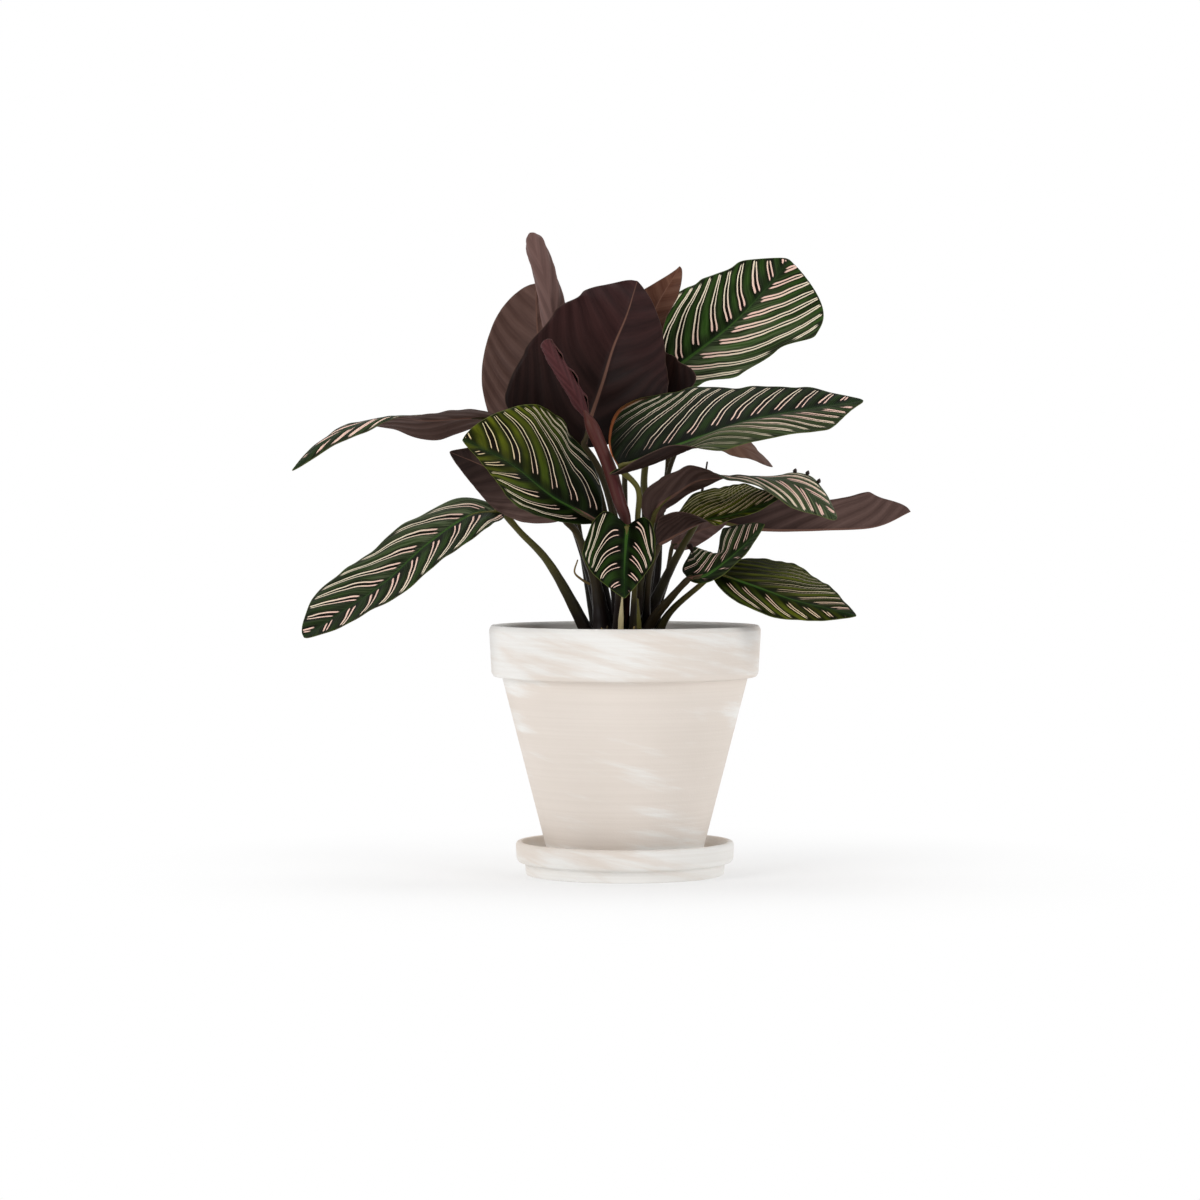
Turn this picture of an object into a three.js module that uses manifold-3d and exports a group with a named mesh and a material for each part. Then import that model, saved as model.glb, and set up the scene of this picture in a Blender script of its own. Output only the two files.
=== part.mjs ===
// A pinstripe calathea growing in a whitewashed clay pot that stands on its saucer.
// Millimetres, +Z up. The origin is the centre of the saucer's flat underside, and the
// side with the hanging heart-shaped leaf faces -Y.

import * as THREE from "three";
import { mergeVertices } from "three/addons/utils/BufferGeometryUtils.js";
import Module from "manifold-3d";

const wasm = await Module();
wasm.setup();

// Driving dimensions
const clearance = 0.3;
const potSides = 32;

const saucerFootRadius = 66;
const saucerRimRadius = 72.6;
const saucerStepHeight = 8;
const saucerHeight = 22;
const saucerFloor = 6.5;
const saucerWall = 5;

const potBase = saucerFloor + clearance;
const potTop = 165.7;
const potFootRadius = 50;
const potShoulderRadius = 81.6;
const potRimRadius = 90.3;
const potRimHeight = 34;
const potWall = 6;
const potFloor = 9;
const drainRadius = 11;

const soilTop = 146;
const soilCrown = 2;
const stemDepth = 12;

const bladeThickness = 0.8;
const baseHalfWidth = 1.6;
const tipHalfWidth = 0.5;
const lobeReach = 0.35;
const stemSides = 6;
const stemSteps = 9;

const quarterTurn = Math.PI / 2;
const degree = Math.PI / 180;

const rippleHeight = 1.1;
const rippleCount = 3.2;

// Colours and finishes
const clay = { color: 0xdfd6cd, roughness: 0.9, metalness: 0 };
const pottingMix = { color: 0x33261d, roughness: 1, metalness: 0 };
const striped = { color: 0x24482a, roughness: 0.45, metalness: 0 };
const purple = { color: 0x43282b, roughness: 0.5, metalness: 0 };
const newLeaf = { color: 0x6e3a42, roughness: 0.5, metalness: 0 };
const darkStem = { color: 0x3a2c2a, roughness: 0.6, metalness: 0 };
const oliveStem = { color: 0x4d4a28, roughness: 0.6, metalness: 0 };
const redStem = { color: 0x6b3a34, roughness: 0.6, metalness: 0 };
const straw = { color: 0xb8a26a, roughness: 0.8, metalness: 0 };

// Each leaf has a rib from its base to its tip, the directions that its striped upper side
// looks in from base to tip, and a left and a right half. A half has its greatest width,
// its fold up from the rib and its further curl to the margin, both in degrees and listed
// from base to tip, the place of its greatest width, how round its base and tip are, how
// much of its length closes to the tip, a lobe that reaches back past the stem, and waves
// [place, height, spread] of its margin.
// A stem rises from its foot in the soil past the listed points to the leaf's base.
const leaves = {
  heart: {
    finish: striped, stemFinish: oliveStem, rows: 13, columns: 3,
    rib: [[1, -70, 232], [0, -80, 220], [-1, -90, 204], [-1, -97, 186]],
    faces: [[0, -0.7, 0.7], [0, -0.9, 0.4], [0, -1, 0.1]],
    left: { half: 19, fold: [-6], curl: [-20], widest: 0.3, base: 0.35, tip: 0.95, lobe: 24 },
    right: { half: 28, fold: [-6], curl: [-24], widest: 0.3, base: 0.35, tip: 0.95, lobe: 36 },
    foot: [4, -26], stem: [[6, -34, 190], [7, -52, 218]], thick: [2.2, 1.5],
  },
  front_left: {
    finish: striped, stemFinish: darkStem, rows: 15, columns: 4,
    rib: [[-16, -44, 234], [-32, -56, 242], [-49, -72, 252], [-74, -94, 272], [-104, -106, 287]],
    faces: [[0.5, -0.75, 0.3]],
    left: { half: 25, fold: [-82], curl: [0], base: 0.8 },
    right: { half: 56, fold: [5], curl: [-16], widest: 0.45, base: 0.35, tip: 0.7 },
    foot: [-5, -18], stem: [[-4, -30, 190], [-7, -38, 218]], thick: [3.2, 1.8],
  },
  left_underside: {
    finish: purple, stemFinish: darkStem, rows: 12, columns: 3,
    rib: [[-41, -26, 237], [-62, -38, 253], [-88, -50, 269], [-114, -58, 280]],
    faces: [[-0.2, 0.8, 0.5]],
    left: { half: 26 },
    right: { half: 21, fold: [-5], curl: [0], base: 0.7 },
    foot: [-13, -8], stem: [[-19, -10, 192], [-26, -14, 212], [-32, -18, 227]], thick: [5.4, 2.2],
  },
  lower_left: {
    finish: striped, stemFinish: oliveStem, rows: 15, columns: 4,
    rib: [[-81, -12, 241], [-102, -22, 239], [-131, -38, 219], [-157, -52, 195], [-183, -62, 177],
      [-208, -70, 160]],
    faces: [[-0.25, -0.62, 0.74]],
    left: { widths: [18, 25, 25, 21, 17, 13], fold: [8], curl: [0] },
    right: { widths: [16, 24, 29, 32, 32, 25], fold: [5], curl: [-10] },
    foot: [-21, 0], stem: [[-36, -4, 182], [-52, -7, 209], [-69, -10, 227]], thick: [4.6, 2],
  },
  far_left: {
    finish: striped, stemFinish: darkStem, rows: 15, columns: 3,
    rib: [[-83, 8, 303], [-101, 2, 304], [-129, -12, 302], [-161, -30, 303], [-193, -44, 289],
      [-217, -50, 268]],
    faces: [[0, 0.57, 0.82], [-0.05, 0.6, 0.8], [-0.1, 0.1, 0.95], [-0.25, -0.45, 0.85],
      [-0.25, -0.55, 0.8]],
    left: { half: 15 },
    right: { half: 16, waves: [[0.3, -4, 0.1]] },
    foot: [-13, 10], stem: [[-24, 12, 200], [-38, 12, 240], [-60, 12, 280]], thick: [3.2, 1.8],
  },
  centre_dark: {
    finish: purple, stemFinish: darkStem, rows: 15, columns: 4,
    rib: [[-27, -20, 284], [-23, -24, 302], [-15, -27, 326], [-8, -23, 349], [1, -12, 371],
      [8, 6, 394]],
    faces: [[-0.2, 0.97, 0.05]],
    left: { half: 49, fold: [14], curl: [8], base: 0.45, tip: 0.6 },
    right: { widths: [58, 57, 54, 44, 32, 22], fold: [14], curl: [0] },
    foot: [-2, 1], stem: [[-3, -6, 200], [-8, -14, 240], [-16, -19, 266]], thick: [4, 2.4],
  },
  back_left: {
    finish: purple, stemFinish: darkStem, rows: 13, columns: 3,
    rib: [[-38, 36, 280], [-46, 42, 305], [-55, 50, 335], [-59, 54, 365], [-60, 50, 395]],
    faces: [[0.1, 0.98, 0.15]],
    left: { half: 38, fold: [12], base: 0.5, tip: 0.6 },
    right: { half: 43, fold: [8], base: 0.5, tip: 0.6 },
    foot: [-8, 20], stem: [[-16, 24, 200], [-22, 28, 240]], thick: [3.4, 2],
  },
  upright_roll: {
    finish: newLeaf, stemFinish: darkStem, rows: 12, columns: 5,
    rib: [[-33, 12, 302], [-40, 13, 332], [-46, 14, 362], [-53, 14, 396], [-63, 8, 426]],
    faces: [[0.1, 1, 0.1]],
    left: { widths: [10, 18, 22, 22, 19, 16], fold: [0], curl: [170], close: 0.07 },
    right: { widths: [14, 28, 34, 34, 29, 24], fold: [0], curl: [230], close: 0.1 },
    foot: [-3, 12], stem: [[-8, 10, 200], [-16, 10, 250]], thick: [3.2, 2],
  },
  front_roll: {
    finish: newLeaf, stemFinish: redStem, rows: 8, columns: 6,
    rib: [[-24, -46, 301], [-35, -56, 323], [-45, -60, 339], [-52, -62, 352]],
    faces: [[0, 1, 0]],
    left: { widths: [9, 14, 15, 14, 12], fold: [0], curl: [240], close: 0.04 },
    right: { widths: [12, 24, 26, 24, 20], fold: [0], curl: [300], close: 0.05 },
    foot: [-3, -9],
    stem: [[0, -26, 190], [0, -42, 222], [0, -46, 236], [-4, -48, 248], [-10, -48, 268],
      [-16, -47, 283]],
    thick: [3.6, 3.2, 3, 4.6, 4],
  },
  top_right: {
    finish: striped, stemFinish: darkStem, rows: 15, columns: 4,
    rib: [[22, 40, 326], [36, 44, 339], [72, 50, 367], [95, 54, 391], [112, 53, 411]],
    faces: [[-0.1, -0.97, 0.2]],
    left: { widths: [24, 38, 43, 40, 28, 18] },
    right: { widths: [12, 18, 29, 33, 46, 56] },
    foot: [6, 20], stem: [[12, 26, 205], [14, 32, 235], [13, 36, 262], [17, 40, 300]],
    thick: [3.4, 2],
  },
  brown_tip: {
    finish: purple, stemFinish: oliveStem, rows: 13, columns: 3,
    rib: [[22, 20, 318], [14, 26, 345], [20, 30, 375], [37, 26, 405]],
    faces: [[0.2, 0.95, 0.2]],
    left: { widths: [44, 22, 9, 9, 9, 8], lobe: 16 },
    right: { half: 26, widest: 0.3, tip: 1.3 },
    foot: [8, 9], stem: [[14, 12, 205], [17, 16, 232], [13, 16, 262], [19, 18, 300]],
    thick: [3.2, 1.8],
  },
  mid_right: {
    finish: striped, stemFinish: oliveStem, rows: 17, columns: 4,
    rib: [[-4, -66, 270], [16, -66, 278], [49, -63, 290], [82, -54, 301], [118, -42, 308],
      [156, -30, 314]],
    faces: [[-0.2, -0.65, 0.73]],
    left: { widths: [54, 57, 50, 36, 24, 12], fold: [5], lobe: 12 },
    right: {
      widths: [20, 26, 24, 22, 20, 8], fold: [-20, -15, 55, 30, 0, 0],
      curl: [100, 120, -110, -70, -20, -20], lobe: 30,
    },
    foot: [3, -17], stem: [[9, -24, 185], [8, -33, 208], [8, -42, 236], [8, -52, 256]],
    thick: [2.4, 1.8],
  },
  pink_tip: {
    finish: newLeaf, stemFinish: darkStem, rows: 10, columns: 3,
    rib: [[43, 14, 299], [67, 22, 290], [87, 24, 281], [99, 20, 271]],
    faces: [[0.2, 0.5, 0.85]],
    left: { half: 12 },
    right: { half: 12 },
    foot: [15, 15], stem: [[22, 14, 200], [24, 12, 235], [30, 12, 270]], thick: [2.4, 1.5],
  },
  arching: {
    finish: striped, stemFinish: oliveStem, rows: 18, columns: 3,
    rib: [[18, -24, 234], [22, -24, 245], [30, -22, 251], [45, -20, 261], [60, -24, 264],
      [88, -32, 264], [114, -38, 258], [138, -40, 236]],
    faces: [[0.2, 0.95, 0.2], [0, 0.7, 0.6], [0, 0.1, 1], [0.1, -0.45, 0.9], [0.1, -0.5, 0.85]],
    left: { widths: [6, 8, 10, 14, 20, 16], fold: [40, 20, 0, 0] },
    right: { widths: [12, 17, 15, 20, 21, 11] },
    foot: [5, -9], stem: [[8, -12, 180], [13, -18, 212]], thick: [3, 1.8],
  },
  yellow: {
    finish: striped, stemFinish: darkStem, rows: 14, columns: 3,
    rib: [[22, -30, 220], [44, -32, 232], [55, -32, 236], [67, -32, 238], [80, -32, 242],
      [101, -30, 250]],
    faces: [[-0.3, -0.6, 0.75]],
    left: { widths: [7, 20, 31, 34, 30, 20], fold: [4] },
    right: { widths: [16, 22, 12, 4, 3, 2], fold: [95, 80, 20, -10, -10] },
    foot: [14, -10], stem: [[14, -18, 175], [16, -26, 200]], thick: [3, 1.8],
  },
  right_under: {
    finish: purple, stemFinish: oliveStem, rows: 13, columns: 3,
    rib: [[60, 26, 235], [93, 34, 229], [138, 42, 229], [170, 44, 231], [193, 42, 241]],
    faces: [[0, 0.9, 0.35]],
    left: { half: 28, fold: [80] },
    right: { widths: [18, 20, 20, 20, 25, 20], fold: [10] },
    foot: [11, -2], stem: [[15, -6, 171], [32, -9, 207], [45, -10, 230], [51, 0, 240]],
    thick: [3.4, 2],
  },
  twisted: {
    finish: striped, stemFinish: darkStem, rows: 18, columns: 3,
    rib: [[41, -48, 198], [52, -56, 200], [65, -54, 209], [78, -46, 220], [91, -36, 233]],
    faces: [[-0.35, -0.85, 0.4]],
    left: { widths: [14, 29, 26, 19, 23, 22], lobe: 38, waves: [[0.5, -14, 0.09]] },
    right: { half: 5, fold: [-30] },
    foot: [11, -19], stem: [[17, -24, 168], [30, -38, 185]], thick: [3.8, 3.2, 2],
  },
  lower_right: {
    finish: striped, stemFinish: oliveStem, rows: 14, columns: 3,
    rib: [[58, -40, 202], [84, -52, 193], [109, -60, 184], [129, -66, 179], [149, -70, 174]],
    faces: [[0.15, -0.65, 0.75]],
    left: { half: 44, widest: 0.36, base: 0.35 },
    right: { half: 16, fold: [-15] },
    foot: [20, -15], stem: [[24, -24, 166], [32, -30, 178], [49, -37, 193]], thick: [2.8, 1.8],
  },
  small_pink: {
    finish: newLeaf, stemFinish: darkStem, rows: 8, columns: 2,
    rib: [[31, 4, 218], [48, 8, 228], [68, 10, 234]],
    faces: [[0, 0.9, 0.4]],
    left: { half: 8 },
    right: { half: 8 },
    foot: [19, 1], stem: [[24, 2, 180], [28, 3, 200]], thick: [1.8, 1.3],
  },
  back_low: {
    finish: striped, stemFinish: darkStem, rows: 10, columns: 2,
    rib: [[-32, 40, 262], [-50, 62, 280], [-66, 94, 276], [-74, 122, 252]],
    faces: [[0, -0.3, 0.9], [0, 0.3, 0.9], [0, 0.7, 0.7]],
    left: { half: 26 },
    right: { half: 26 },
    foot: [-18, 20], stem: [[-26, 26, 200], [-32, 32, 238]], thick: [3, 1.8],
  },
  back_centre: {
    finish: striped, stemFinish: darkStem, rows: 10, columns: 2,
    rib: [[0, 44, 286], [-4, 68, 310], [-8, 98, 324], [-10, 128, 316]],
    faces: [[0, -0.5, 0.8], [0, 0.1, 1], [0, 0.3, 0.9]],
    left: { half: 24 },
    right: { half: 20 },
    foot: [-1, 29], stem: [[0, 32, 220], [0, 38, 264]], thick: [3, 1.8],
  },
  back_right: {
    finish: striped, stemFinish: darkStem, rows: 10, columns: 2,
    rib: [[30, 36, 286], [44, 60, 306], [60, 92, 308], [72, 120, 296]],
    faces: [[0, -0.3, 0.9], [0, 0.2, 1], [0, 0.5, 0.85]],
    left: { half: 26 },
    right: { half: 26 },
    foot: [13, 25], stem: [[20, 30, 220], [28, 34, 262]], thick: [3, 1.8],
  },
};

// Shoots without a blade, each rising from its foot in the soil to its tip
const shoots = {
  spear: {
    finish: newLeaf, foot: [17, 8],
    stem: [[22, 10, 175], [34, 10, 210], [44, 12, 228], [50, 14, 248], [53, 15, 262]],
    tip: [55, 15, 274], thick: [2, 1.8, 1.5, 1.2, 0.6],
  },
  cream_sheath: {
    finish: straw, foot: [-3, -38], stem: [[-3, -39, 168]], tip: [-2, -42, 186],
    thick: [2.2, 2.2, 1.8, 0.6],
  },
  green_sheath: {
    finish: oliveStem, foot: [10, -38], stem: [[9, -39, 166]], tip: [8, -43, 184],
    thick: [1.9, 1.9, 1.5, 0.6],
  },
};

// A dried bract that hangs beside the stem of the lower leaf on the left
const bractPoints = [[-23.5, -11, 193], [-28.5, -13, 196], [-33.4, -14, 201], [-31.4, -14, 209]];
const bractRadii = [0.9, 0.8, 0.6, 0.5];

// Joining and cutting
function toSolid(geometry) {
  const plain = geometry.clone();
  plain.deleteAttribute("normal");
  plain.deleteAttribute("uv");
  const merged = mergeVertices(plain, 1e-4);
  const mesh = new wasm.Mesh({
    numProp: 3,
    vertProperties: new Float32Array(merged.attributes.position.array),
    triVerts: new Uint32Array(merged.index.array),
  });
  return new wasm.Manifold(mesh);
}

function toGeometry(solid) {
  const mesh = solid.getMesh();
  return indexedGeometry(Array.from(mesh.vertProperties), Array.from(mesh.triVerts));
}

function indexedGeometry(positions, indices) {
  const geometry = new THREE.BufferGeometry();
  geometry.setAttribute("position", new THREE.Float32BufferAttribute(positions, 3));
  geometry.setIndex(indices);
  geometry.computeVertexNormals();
  return geometry;
}

// Pottery and soil
function turned(profile) {
  const points = profile.map(([radius, height]) => new THREE.Vector2(radius, height));
  const geometry = new THREE.LatheGeometry(points, potSides);
  geometry.rotateX(quarterTurn);
  return toGeometry(toSolid(geometry));
}

function saucer() {
  const lip = saucerHeight - 1.6;
  return turned([
    [0, 0],
    [saucerFootRadius, 0],
    [saucerFootRadius + 0.4, saucerStepHeight - 0.5],
    [saucerRimRadius - 1.6, saucerStepHeight + 0.6],
    [saucerRimRadius - 0.4, saucerStepHeight + 3],
    [saucerRimRadius, lip],
    [saucerRimRadius - 1.2, saucerHeight],
    [saucerRimRadius - saucerWall + 1, saucerHeight],
    [saucerRimRadius - saucerWall, lip],
    [saucerRimRadius - saucerWall - 4, saucerFloor + 3],
    [saucerRimRadius - saucerWall - 8, saucerFloor],
    [0, saucerFloor],
  ]);
}

function pot() {
  const ledge = potTop - potRimHeight;
  const floor = potBase + potFloor;
  return turned([
    [drainRadius, potBase],
    [potFootRadius - 1.5, potBase],
    [potFootRadius, potBase + 1.5],
    [potShoulderRadius, ledge - 0.8],
    [potRimRadius - 3, ledge],
    [potRimRadius - 1.6, ledge + 2.4],
    [potRimRadius, potTop - 3],
    [potRimRadius - 1.5, potTop],
    [potRimRadius - potWall + 1.5, potTop],
    [potRimRadius - potWall, potTop - 1.5],
    [potRimRadius - potWall - 3, ledge + 2],
    [potShoulderRadius - potWall, ledge - 5],
    [potFootRadius - potWall + 2, floor],
    [drainRadius, floor],
    [drainRadius, potBase],
  ]);
}

function soil(stemSolids) {
  const ledge = potTop - potRimHeight;
  const floor = potBase + potFloor + clearance;
  const rimInside = potRimRadius - potWall;
  const topShare = (soilTop - ledge - 2) / (potTop - 1.5 - ledge - 2);
  const topRadius = rimInside - 3 + 3 * topShare - clearance - 0.2;
  let solid = toSolid(turned([
    [0, floor],
    [potFootRadius - potWall + 1.5 - clearance, floor],
    [potShoulderRadius - potWall - 0.8, ledge - 5],
    [rimInside - 3.8, ledge + 2.4],
    [topRadius, soilTop - soilCrown],
    [potFootRadius, soilTop - 0.5],
    [0, soilTop + soilCrown],
  ]));
  for (const stem of stemSolids) {
    solid = solid.subtract(stem);
  }
  return toGeometry(solid);
}

// Curves and values along a leaf
const vector = ([x, y, z]) => new THREE.Vector3(x, y, z);

function curveThrough(points) {
  return new THREE.CatmullRomCurve3(points.map(vector), false, "catmullrom", 0.5);
}

function along(list, u) {
  if (list.length === 1) {
    return list[0];
  }
  const place = u * (list.length - 1);
  const index = Math.min(Math.floor(place), list.length - 2);
  const part = place - index;
  return list[index] + (list[index + 1] - list[index]) * part * part * (3 - 2 * part);
}

function facing(faces, tangent, u) {
  const direction = vector([0, 1, 2].map((axis) => along(faces.map((face) => face[axis]), u)));
  return direction.addScaledVector(tangent, -direction.dot(tangent)).normalize();
}

function halfWidth(half, u) {
  if (half.widths) {
    const baseRound = Math.sin(quarterTurn * Math.min(u / 0.16, 1)) ** 0.5;
    const tipRound = Math.sin(quarterTurn * Math.min((1 - u) / (half.close ?? 0.22), 1)) ** 0.6;
    return along(half.widths, u) * baseRound * tipRound;
  }
  const { widest = 0.4, base = 0.6, tip = 0.85 } = half;
  const share = u < widest
    ? Math.sin(quarterTurn * u / widest) ** base
    : Math.max(Math.cos(quarterTurn * (u - widest) / (1 - widest)), 0) ** tip;
  return half.half * share;
}

// The lift of a margin: a gentle ripple, and the waves that are listed for its half
function marginLift(half, u, side) {
  const { waves = [] } = half;
  const ripple = Math.sin(2 * Math.PI * rippleCount * u + side) * Math.sin(Math.PI * u);
  return waves.reduce((sum, [place, height, spread]) =>
    sum + height * Math.exp(-(((u - place) / spread) ** 2)), rippleHeight * ripple);
}

// Points of one half from the rib to the margin
function halfRow(half, frame, u, side, columns) {
  const { fold = [-6], curl = [-12], lobe = 0 } = half;
  const stub = baseHalfWidth + (tipHalfWidth - baseHalfWidth) * u;
  const width = halfWidth(half, u) + stub;
  const start = along(fold, u) * degree;
  const turn = along(curl, u) * degree;
  const greatest = half.half ?? Math.max(...half.widths);
  const back = lobe * (width / greatest) * Math.max(1 - u / lobeReach, 0) ** 2;
  const steps = 8;
  const row = [];
  const point = frame.origin.clone();
  for (let column = 1; column <= columns; column += 1) {
    for (let step = 0; step < steps; step += 1) {
      const share = (column - 1 + (step + 0.5) / steps) / columns;
      const angle = start + turn * share;
      point.addScaledVector(frame.across, side * Math.cos(angle) * width / columns / steps);
      point.addScaledVector(frame.up, Math.sin(angle) * width / columns / steps);
    }
    const share = column / columns;
    const angle = start + turn * share;
    const lift = marginLift(half, u, side) * share * share;
    row.push(point.clone()
      .addScaledVector(frame.across, -side * Math.sin(angle) * lift)
      .addScaledVector(frame.up, Math.cos(angle) * lift)
      .addScaledVector(frame.tangent, -back * share));
  }
  return row;
}

function bladeGrid(leaf) {
  const { rows, columns } = leaf;
  const curve = curveThrough(leaf.rib);
  const grid = [];
  for (let row = 0; row <= rows; row += 1) {
    const even = row / rows;
    const u = 0.4 * even + 0.6 * (1 - Math.cos(Math.PI * even)) / 2;
    const tangent = curve.getTangentAt(u).normalize();
    const up = facing(leaf.faces, tangent, u);
    const frame = { origin: curve.getPointAt(u), tangent, up, across: tangent.clone().cross(up) };
    const left = halfRow(leaf.left, frame, u, -1, columns).reverse();
    const right = halfRow(leaf.right, frame, u, 1, columns);
    grid.push([...left, frame.origin, ...right]);
  }
  return grid;
}

// The underside of a blade, its thickness below the upper side
function loweredGrid(grid) {
  const lastRow = grid.length - 1;
  const lastColumn = grid[0].length - 1;
  return grid.map((row, i) => row.map((point, j) => {
    const lengthwise = grid[Math.min(i + 1, lastRow)][j].clone()
      .sub(grid[Math.max(i - 1, 0)][j]);
    const crosswise = row[Math.min(j + 1, lastColumn)].clone().sub(row[Math.max(j - 1, 0)]);
    const normal = crosswise.cross(lengthwise).normalize();
    return point.clone().addScaledVector(normal, -bladeThickness);
  }));
}

function blade(leaf) {
  const upper = bladeGrid(leaf);
  const lower = loweredGrid(upper);
  const rows = upper.length;
  const columns = upper[0].length;
  const positions = [...upper.flat(), ...lower.flat()].flatMap((point) => point.toArray());
  const top = (i, j) => i * columns + j;
  const bottom = (i, j) => rows * columns + i * columns + j;
  const indices = [];
  for (let i = 0; i < rows - 1; i += 1) {
    for (let j = 0; j < columns - 1; j += 1) {
      const onLeft = j < (columns - 1) / 2;
      const corners = [[i, j], [i, j + 1], [i + 1, j + 1], [i + 1, j]];
      const [a, b, c, d] = onLeft ? [...corners.slice(1), corners[0]] : corners;
      indices.push(top(...a), top(...b), top(...c), top(...a), top(...c), top(...d));
      indices.push(bottom(...a), bottom(...c), bottom(...b));
      indices.push(bottom(...a), bottom(...d), bottom(...c));
    }
    const right = columns - 1;
    indices.push(top(i, 0), top(i + 1, 0), bottom(i + 1, 0));
    indices.push(top(i, 0), bottom(i + 1, 0), bottom(i, 0));
    indices.push(top(i, right), bottom(i + 1, right), top(i + 1, right));
    indices.push(top(i, right), bottom(i, right), bottom(i + 1, right));
  }
  for (let j = 0; j < columns - 1; j += 1) {
    const tip = rows - 1;
    indices.push(top(0, j), bottom(0, j), bottom(0, j + 1));
    indices.push(top(0, j), bottom(0, j + 1), top(0, j + 1));
    indices.push(top(tip, j), bottom(tip, j + 1), bottom(tip, j));
    indices.push(top(tip, j), top(tip, j + 1), bottom(tip, j + 1));
  }
  return indexedGeometry(positions, indices);
}

// The blade, notched at its base where its own stem meets it
function trimmedBlade(leaf, cutter) {
  const pieces = toSolid(blade(leaf)).subtract(cutter).decompose();
  pieces.sort((one, other) => other.volume() - one.volume());
  return toGeometry(pieces[0]);
}

// A tapering round stem along a curve
function taperedTube(points, radii, spare = 0) {
  const curve = curveThrough(points);
  const frames = curve.computeFrenetFrames(stemSteps);
  const positions = [];
  const indices = [];
  for (let step = 0; step <= stemSteps; step += 1) {
    const u = step / stemSteps;
    const centre = curve.getPointAt(u);
    const radius = along(radii, u) + spare;
    for (let side = 0; side < stemSides; side += 1) {
      const angle = 2 * Math.PI * side / stemSides;
      const point = centre.clone()
        .addScaledVector(frames.normals[step], radius * Math.cos(angle))
        .addScaledVector(frames.binormals[step], radius * Math.sin(angle));
      positions.push(...point.toArray());
    }
  }
  const corner = (step, side) => step * stemSides + side % stemSides;
  for (let step = 0; step < stemSteps; step += 1) {
    for (let side = 0; side < stemSides; side += 1) {
      const [a, b] = [corner(step, side), corner(step, side + 1)];
      const [c, d] = [corner(step + 1, side + 1), corner(step + 1, side)];
      indices.push(a, b, c, a, c, d);
    }
  }
  for (let side = 1; side < stemSides - 1; side += 1) {
    indices.push(corner(0, 0), corner(0, side + 1), corner(0, side));
    indices.push(corner(stemSteps, 0), corner(stemSteps, side), corner(stemSteps, side + 1));
  }
  return indexedGeometry(positions, indices);
}

function footPoints({ foot: [x, y], stem }) {
  return [[x, y, soilTop - stemDepth], [x, y, soilTop + 4], ...stem];
}

function stemPoints(leaf) {
  const curve = curveThrough(leaf.rib);
  const start = curve.getPointAt(0);
  const tangent = curve.getTangentAt(0).normalize();
  const up = facing(leaf.faces, tangent, 0);
  const end = start.addScaledVector(tangent, -clearance).addScaledVector(up, -bladeThickness / 2);
  return [...footPoints(leaf), end.toArray()];
}

// Assembly
const plant = new THREE.Group();
const pottery = new THREE.Group();

function addMesh(group, name, geometry, finish) {
  const mesh = new THREE.Mesh(geometry, new THREE.MeshStandardMaterial(finish));
  mesh.name = name;
  group.add(mesh);
}

const socketCutters = [];
for (const [name, leaf] of Object.entries(leaves)) {
  const cutter = toSolid(taperedTube(stemPoints(leaf), leaf.thick, clearance));
  addMesh(plant, `leaf_${name}`, trimmedBlade(leaf, cutter), leaf.finish);
  addMesh(plant, `stem_${name}`, taperedTube(stemPoints(leaf), leaf.thick), leaf.stemFinish);
  socketCutters.push(cutter);
}

for (const [name, shoot] of Object.entries(shoots)) {
  const points = [...footPoints(shoot), shoot.tip];
  addMesh(plant, `shoot_${name}`, taperedTube(points, shoot.thick), shoot.finish);
  socketCutters.push(toSolid(taperedTube(points, shoot.thick, clearance)));
}
addMesh(plant, "dried_bract", taperedTube(bractPoints, bractRadii), straw);

addMesh(pottery, "saucer", saucer(), clay);
addMesh(pottery, "pot", pot(), clay);
addMesh(pottery, "soil", soil(socketCutters), pottingMix);

const pottedPlant = new THREE.Group();
pottedPlant.add(pottery, plant);

export default pottedPlant;
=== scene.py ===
# %% [markdown]
# A potted pinstripe calathea in a whitewashed clay pot
#
# The plant on the photograph is a mound of thin, curved leaves. Each one is dark green with
# pairs of pink and cream lines above, and wine purple beneath, and each stands on its own
# stalk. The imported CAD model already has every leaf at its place, as a coarse faceted sheet.
# This lesson builds the same leaves again from the same few dimensions, finely enough for
# veins, a keel under the midrib and lines that follow the veins, and then finishes them.

# %% Load the frame
import functools
import math

import bpy
import numpy as np
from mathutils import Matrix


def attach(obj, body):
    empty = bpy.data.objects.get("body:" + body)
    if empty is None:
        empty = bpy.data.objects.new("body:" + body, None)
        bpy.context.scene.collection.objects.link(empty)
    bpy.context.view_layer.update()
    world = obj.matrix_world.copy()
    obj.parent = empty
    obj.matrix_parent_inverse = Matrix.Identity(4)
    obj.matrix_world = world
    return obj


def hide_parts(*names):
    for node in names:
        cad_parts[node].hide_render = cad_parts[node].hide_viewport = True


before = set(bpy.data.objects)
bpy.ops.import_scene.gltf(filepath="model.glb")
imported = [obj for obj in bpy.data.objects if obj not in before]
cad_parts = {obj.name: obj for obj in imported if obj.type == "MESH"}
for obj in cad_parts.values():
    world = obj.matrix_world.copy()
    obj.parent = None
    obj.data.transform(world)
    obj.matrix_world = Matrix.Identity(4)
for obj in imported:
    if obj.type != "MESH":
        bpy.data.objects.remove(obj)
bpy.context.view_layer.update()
print("CAD nodes:", len(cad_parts))

# %% [markdown]
# Camera
#
# The photograph was taken from about 2.5 m away with a long lens, a little above the rim
# of the pot. A long lens keeps the sides of the pot nearly parallel. The place and the lens
# come from laying the outlines of the solids over the photograph.

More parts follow.
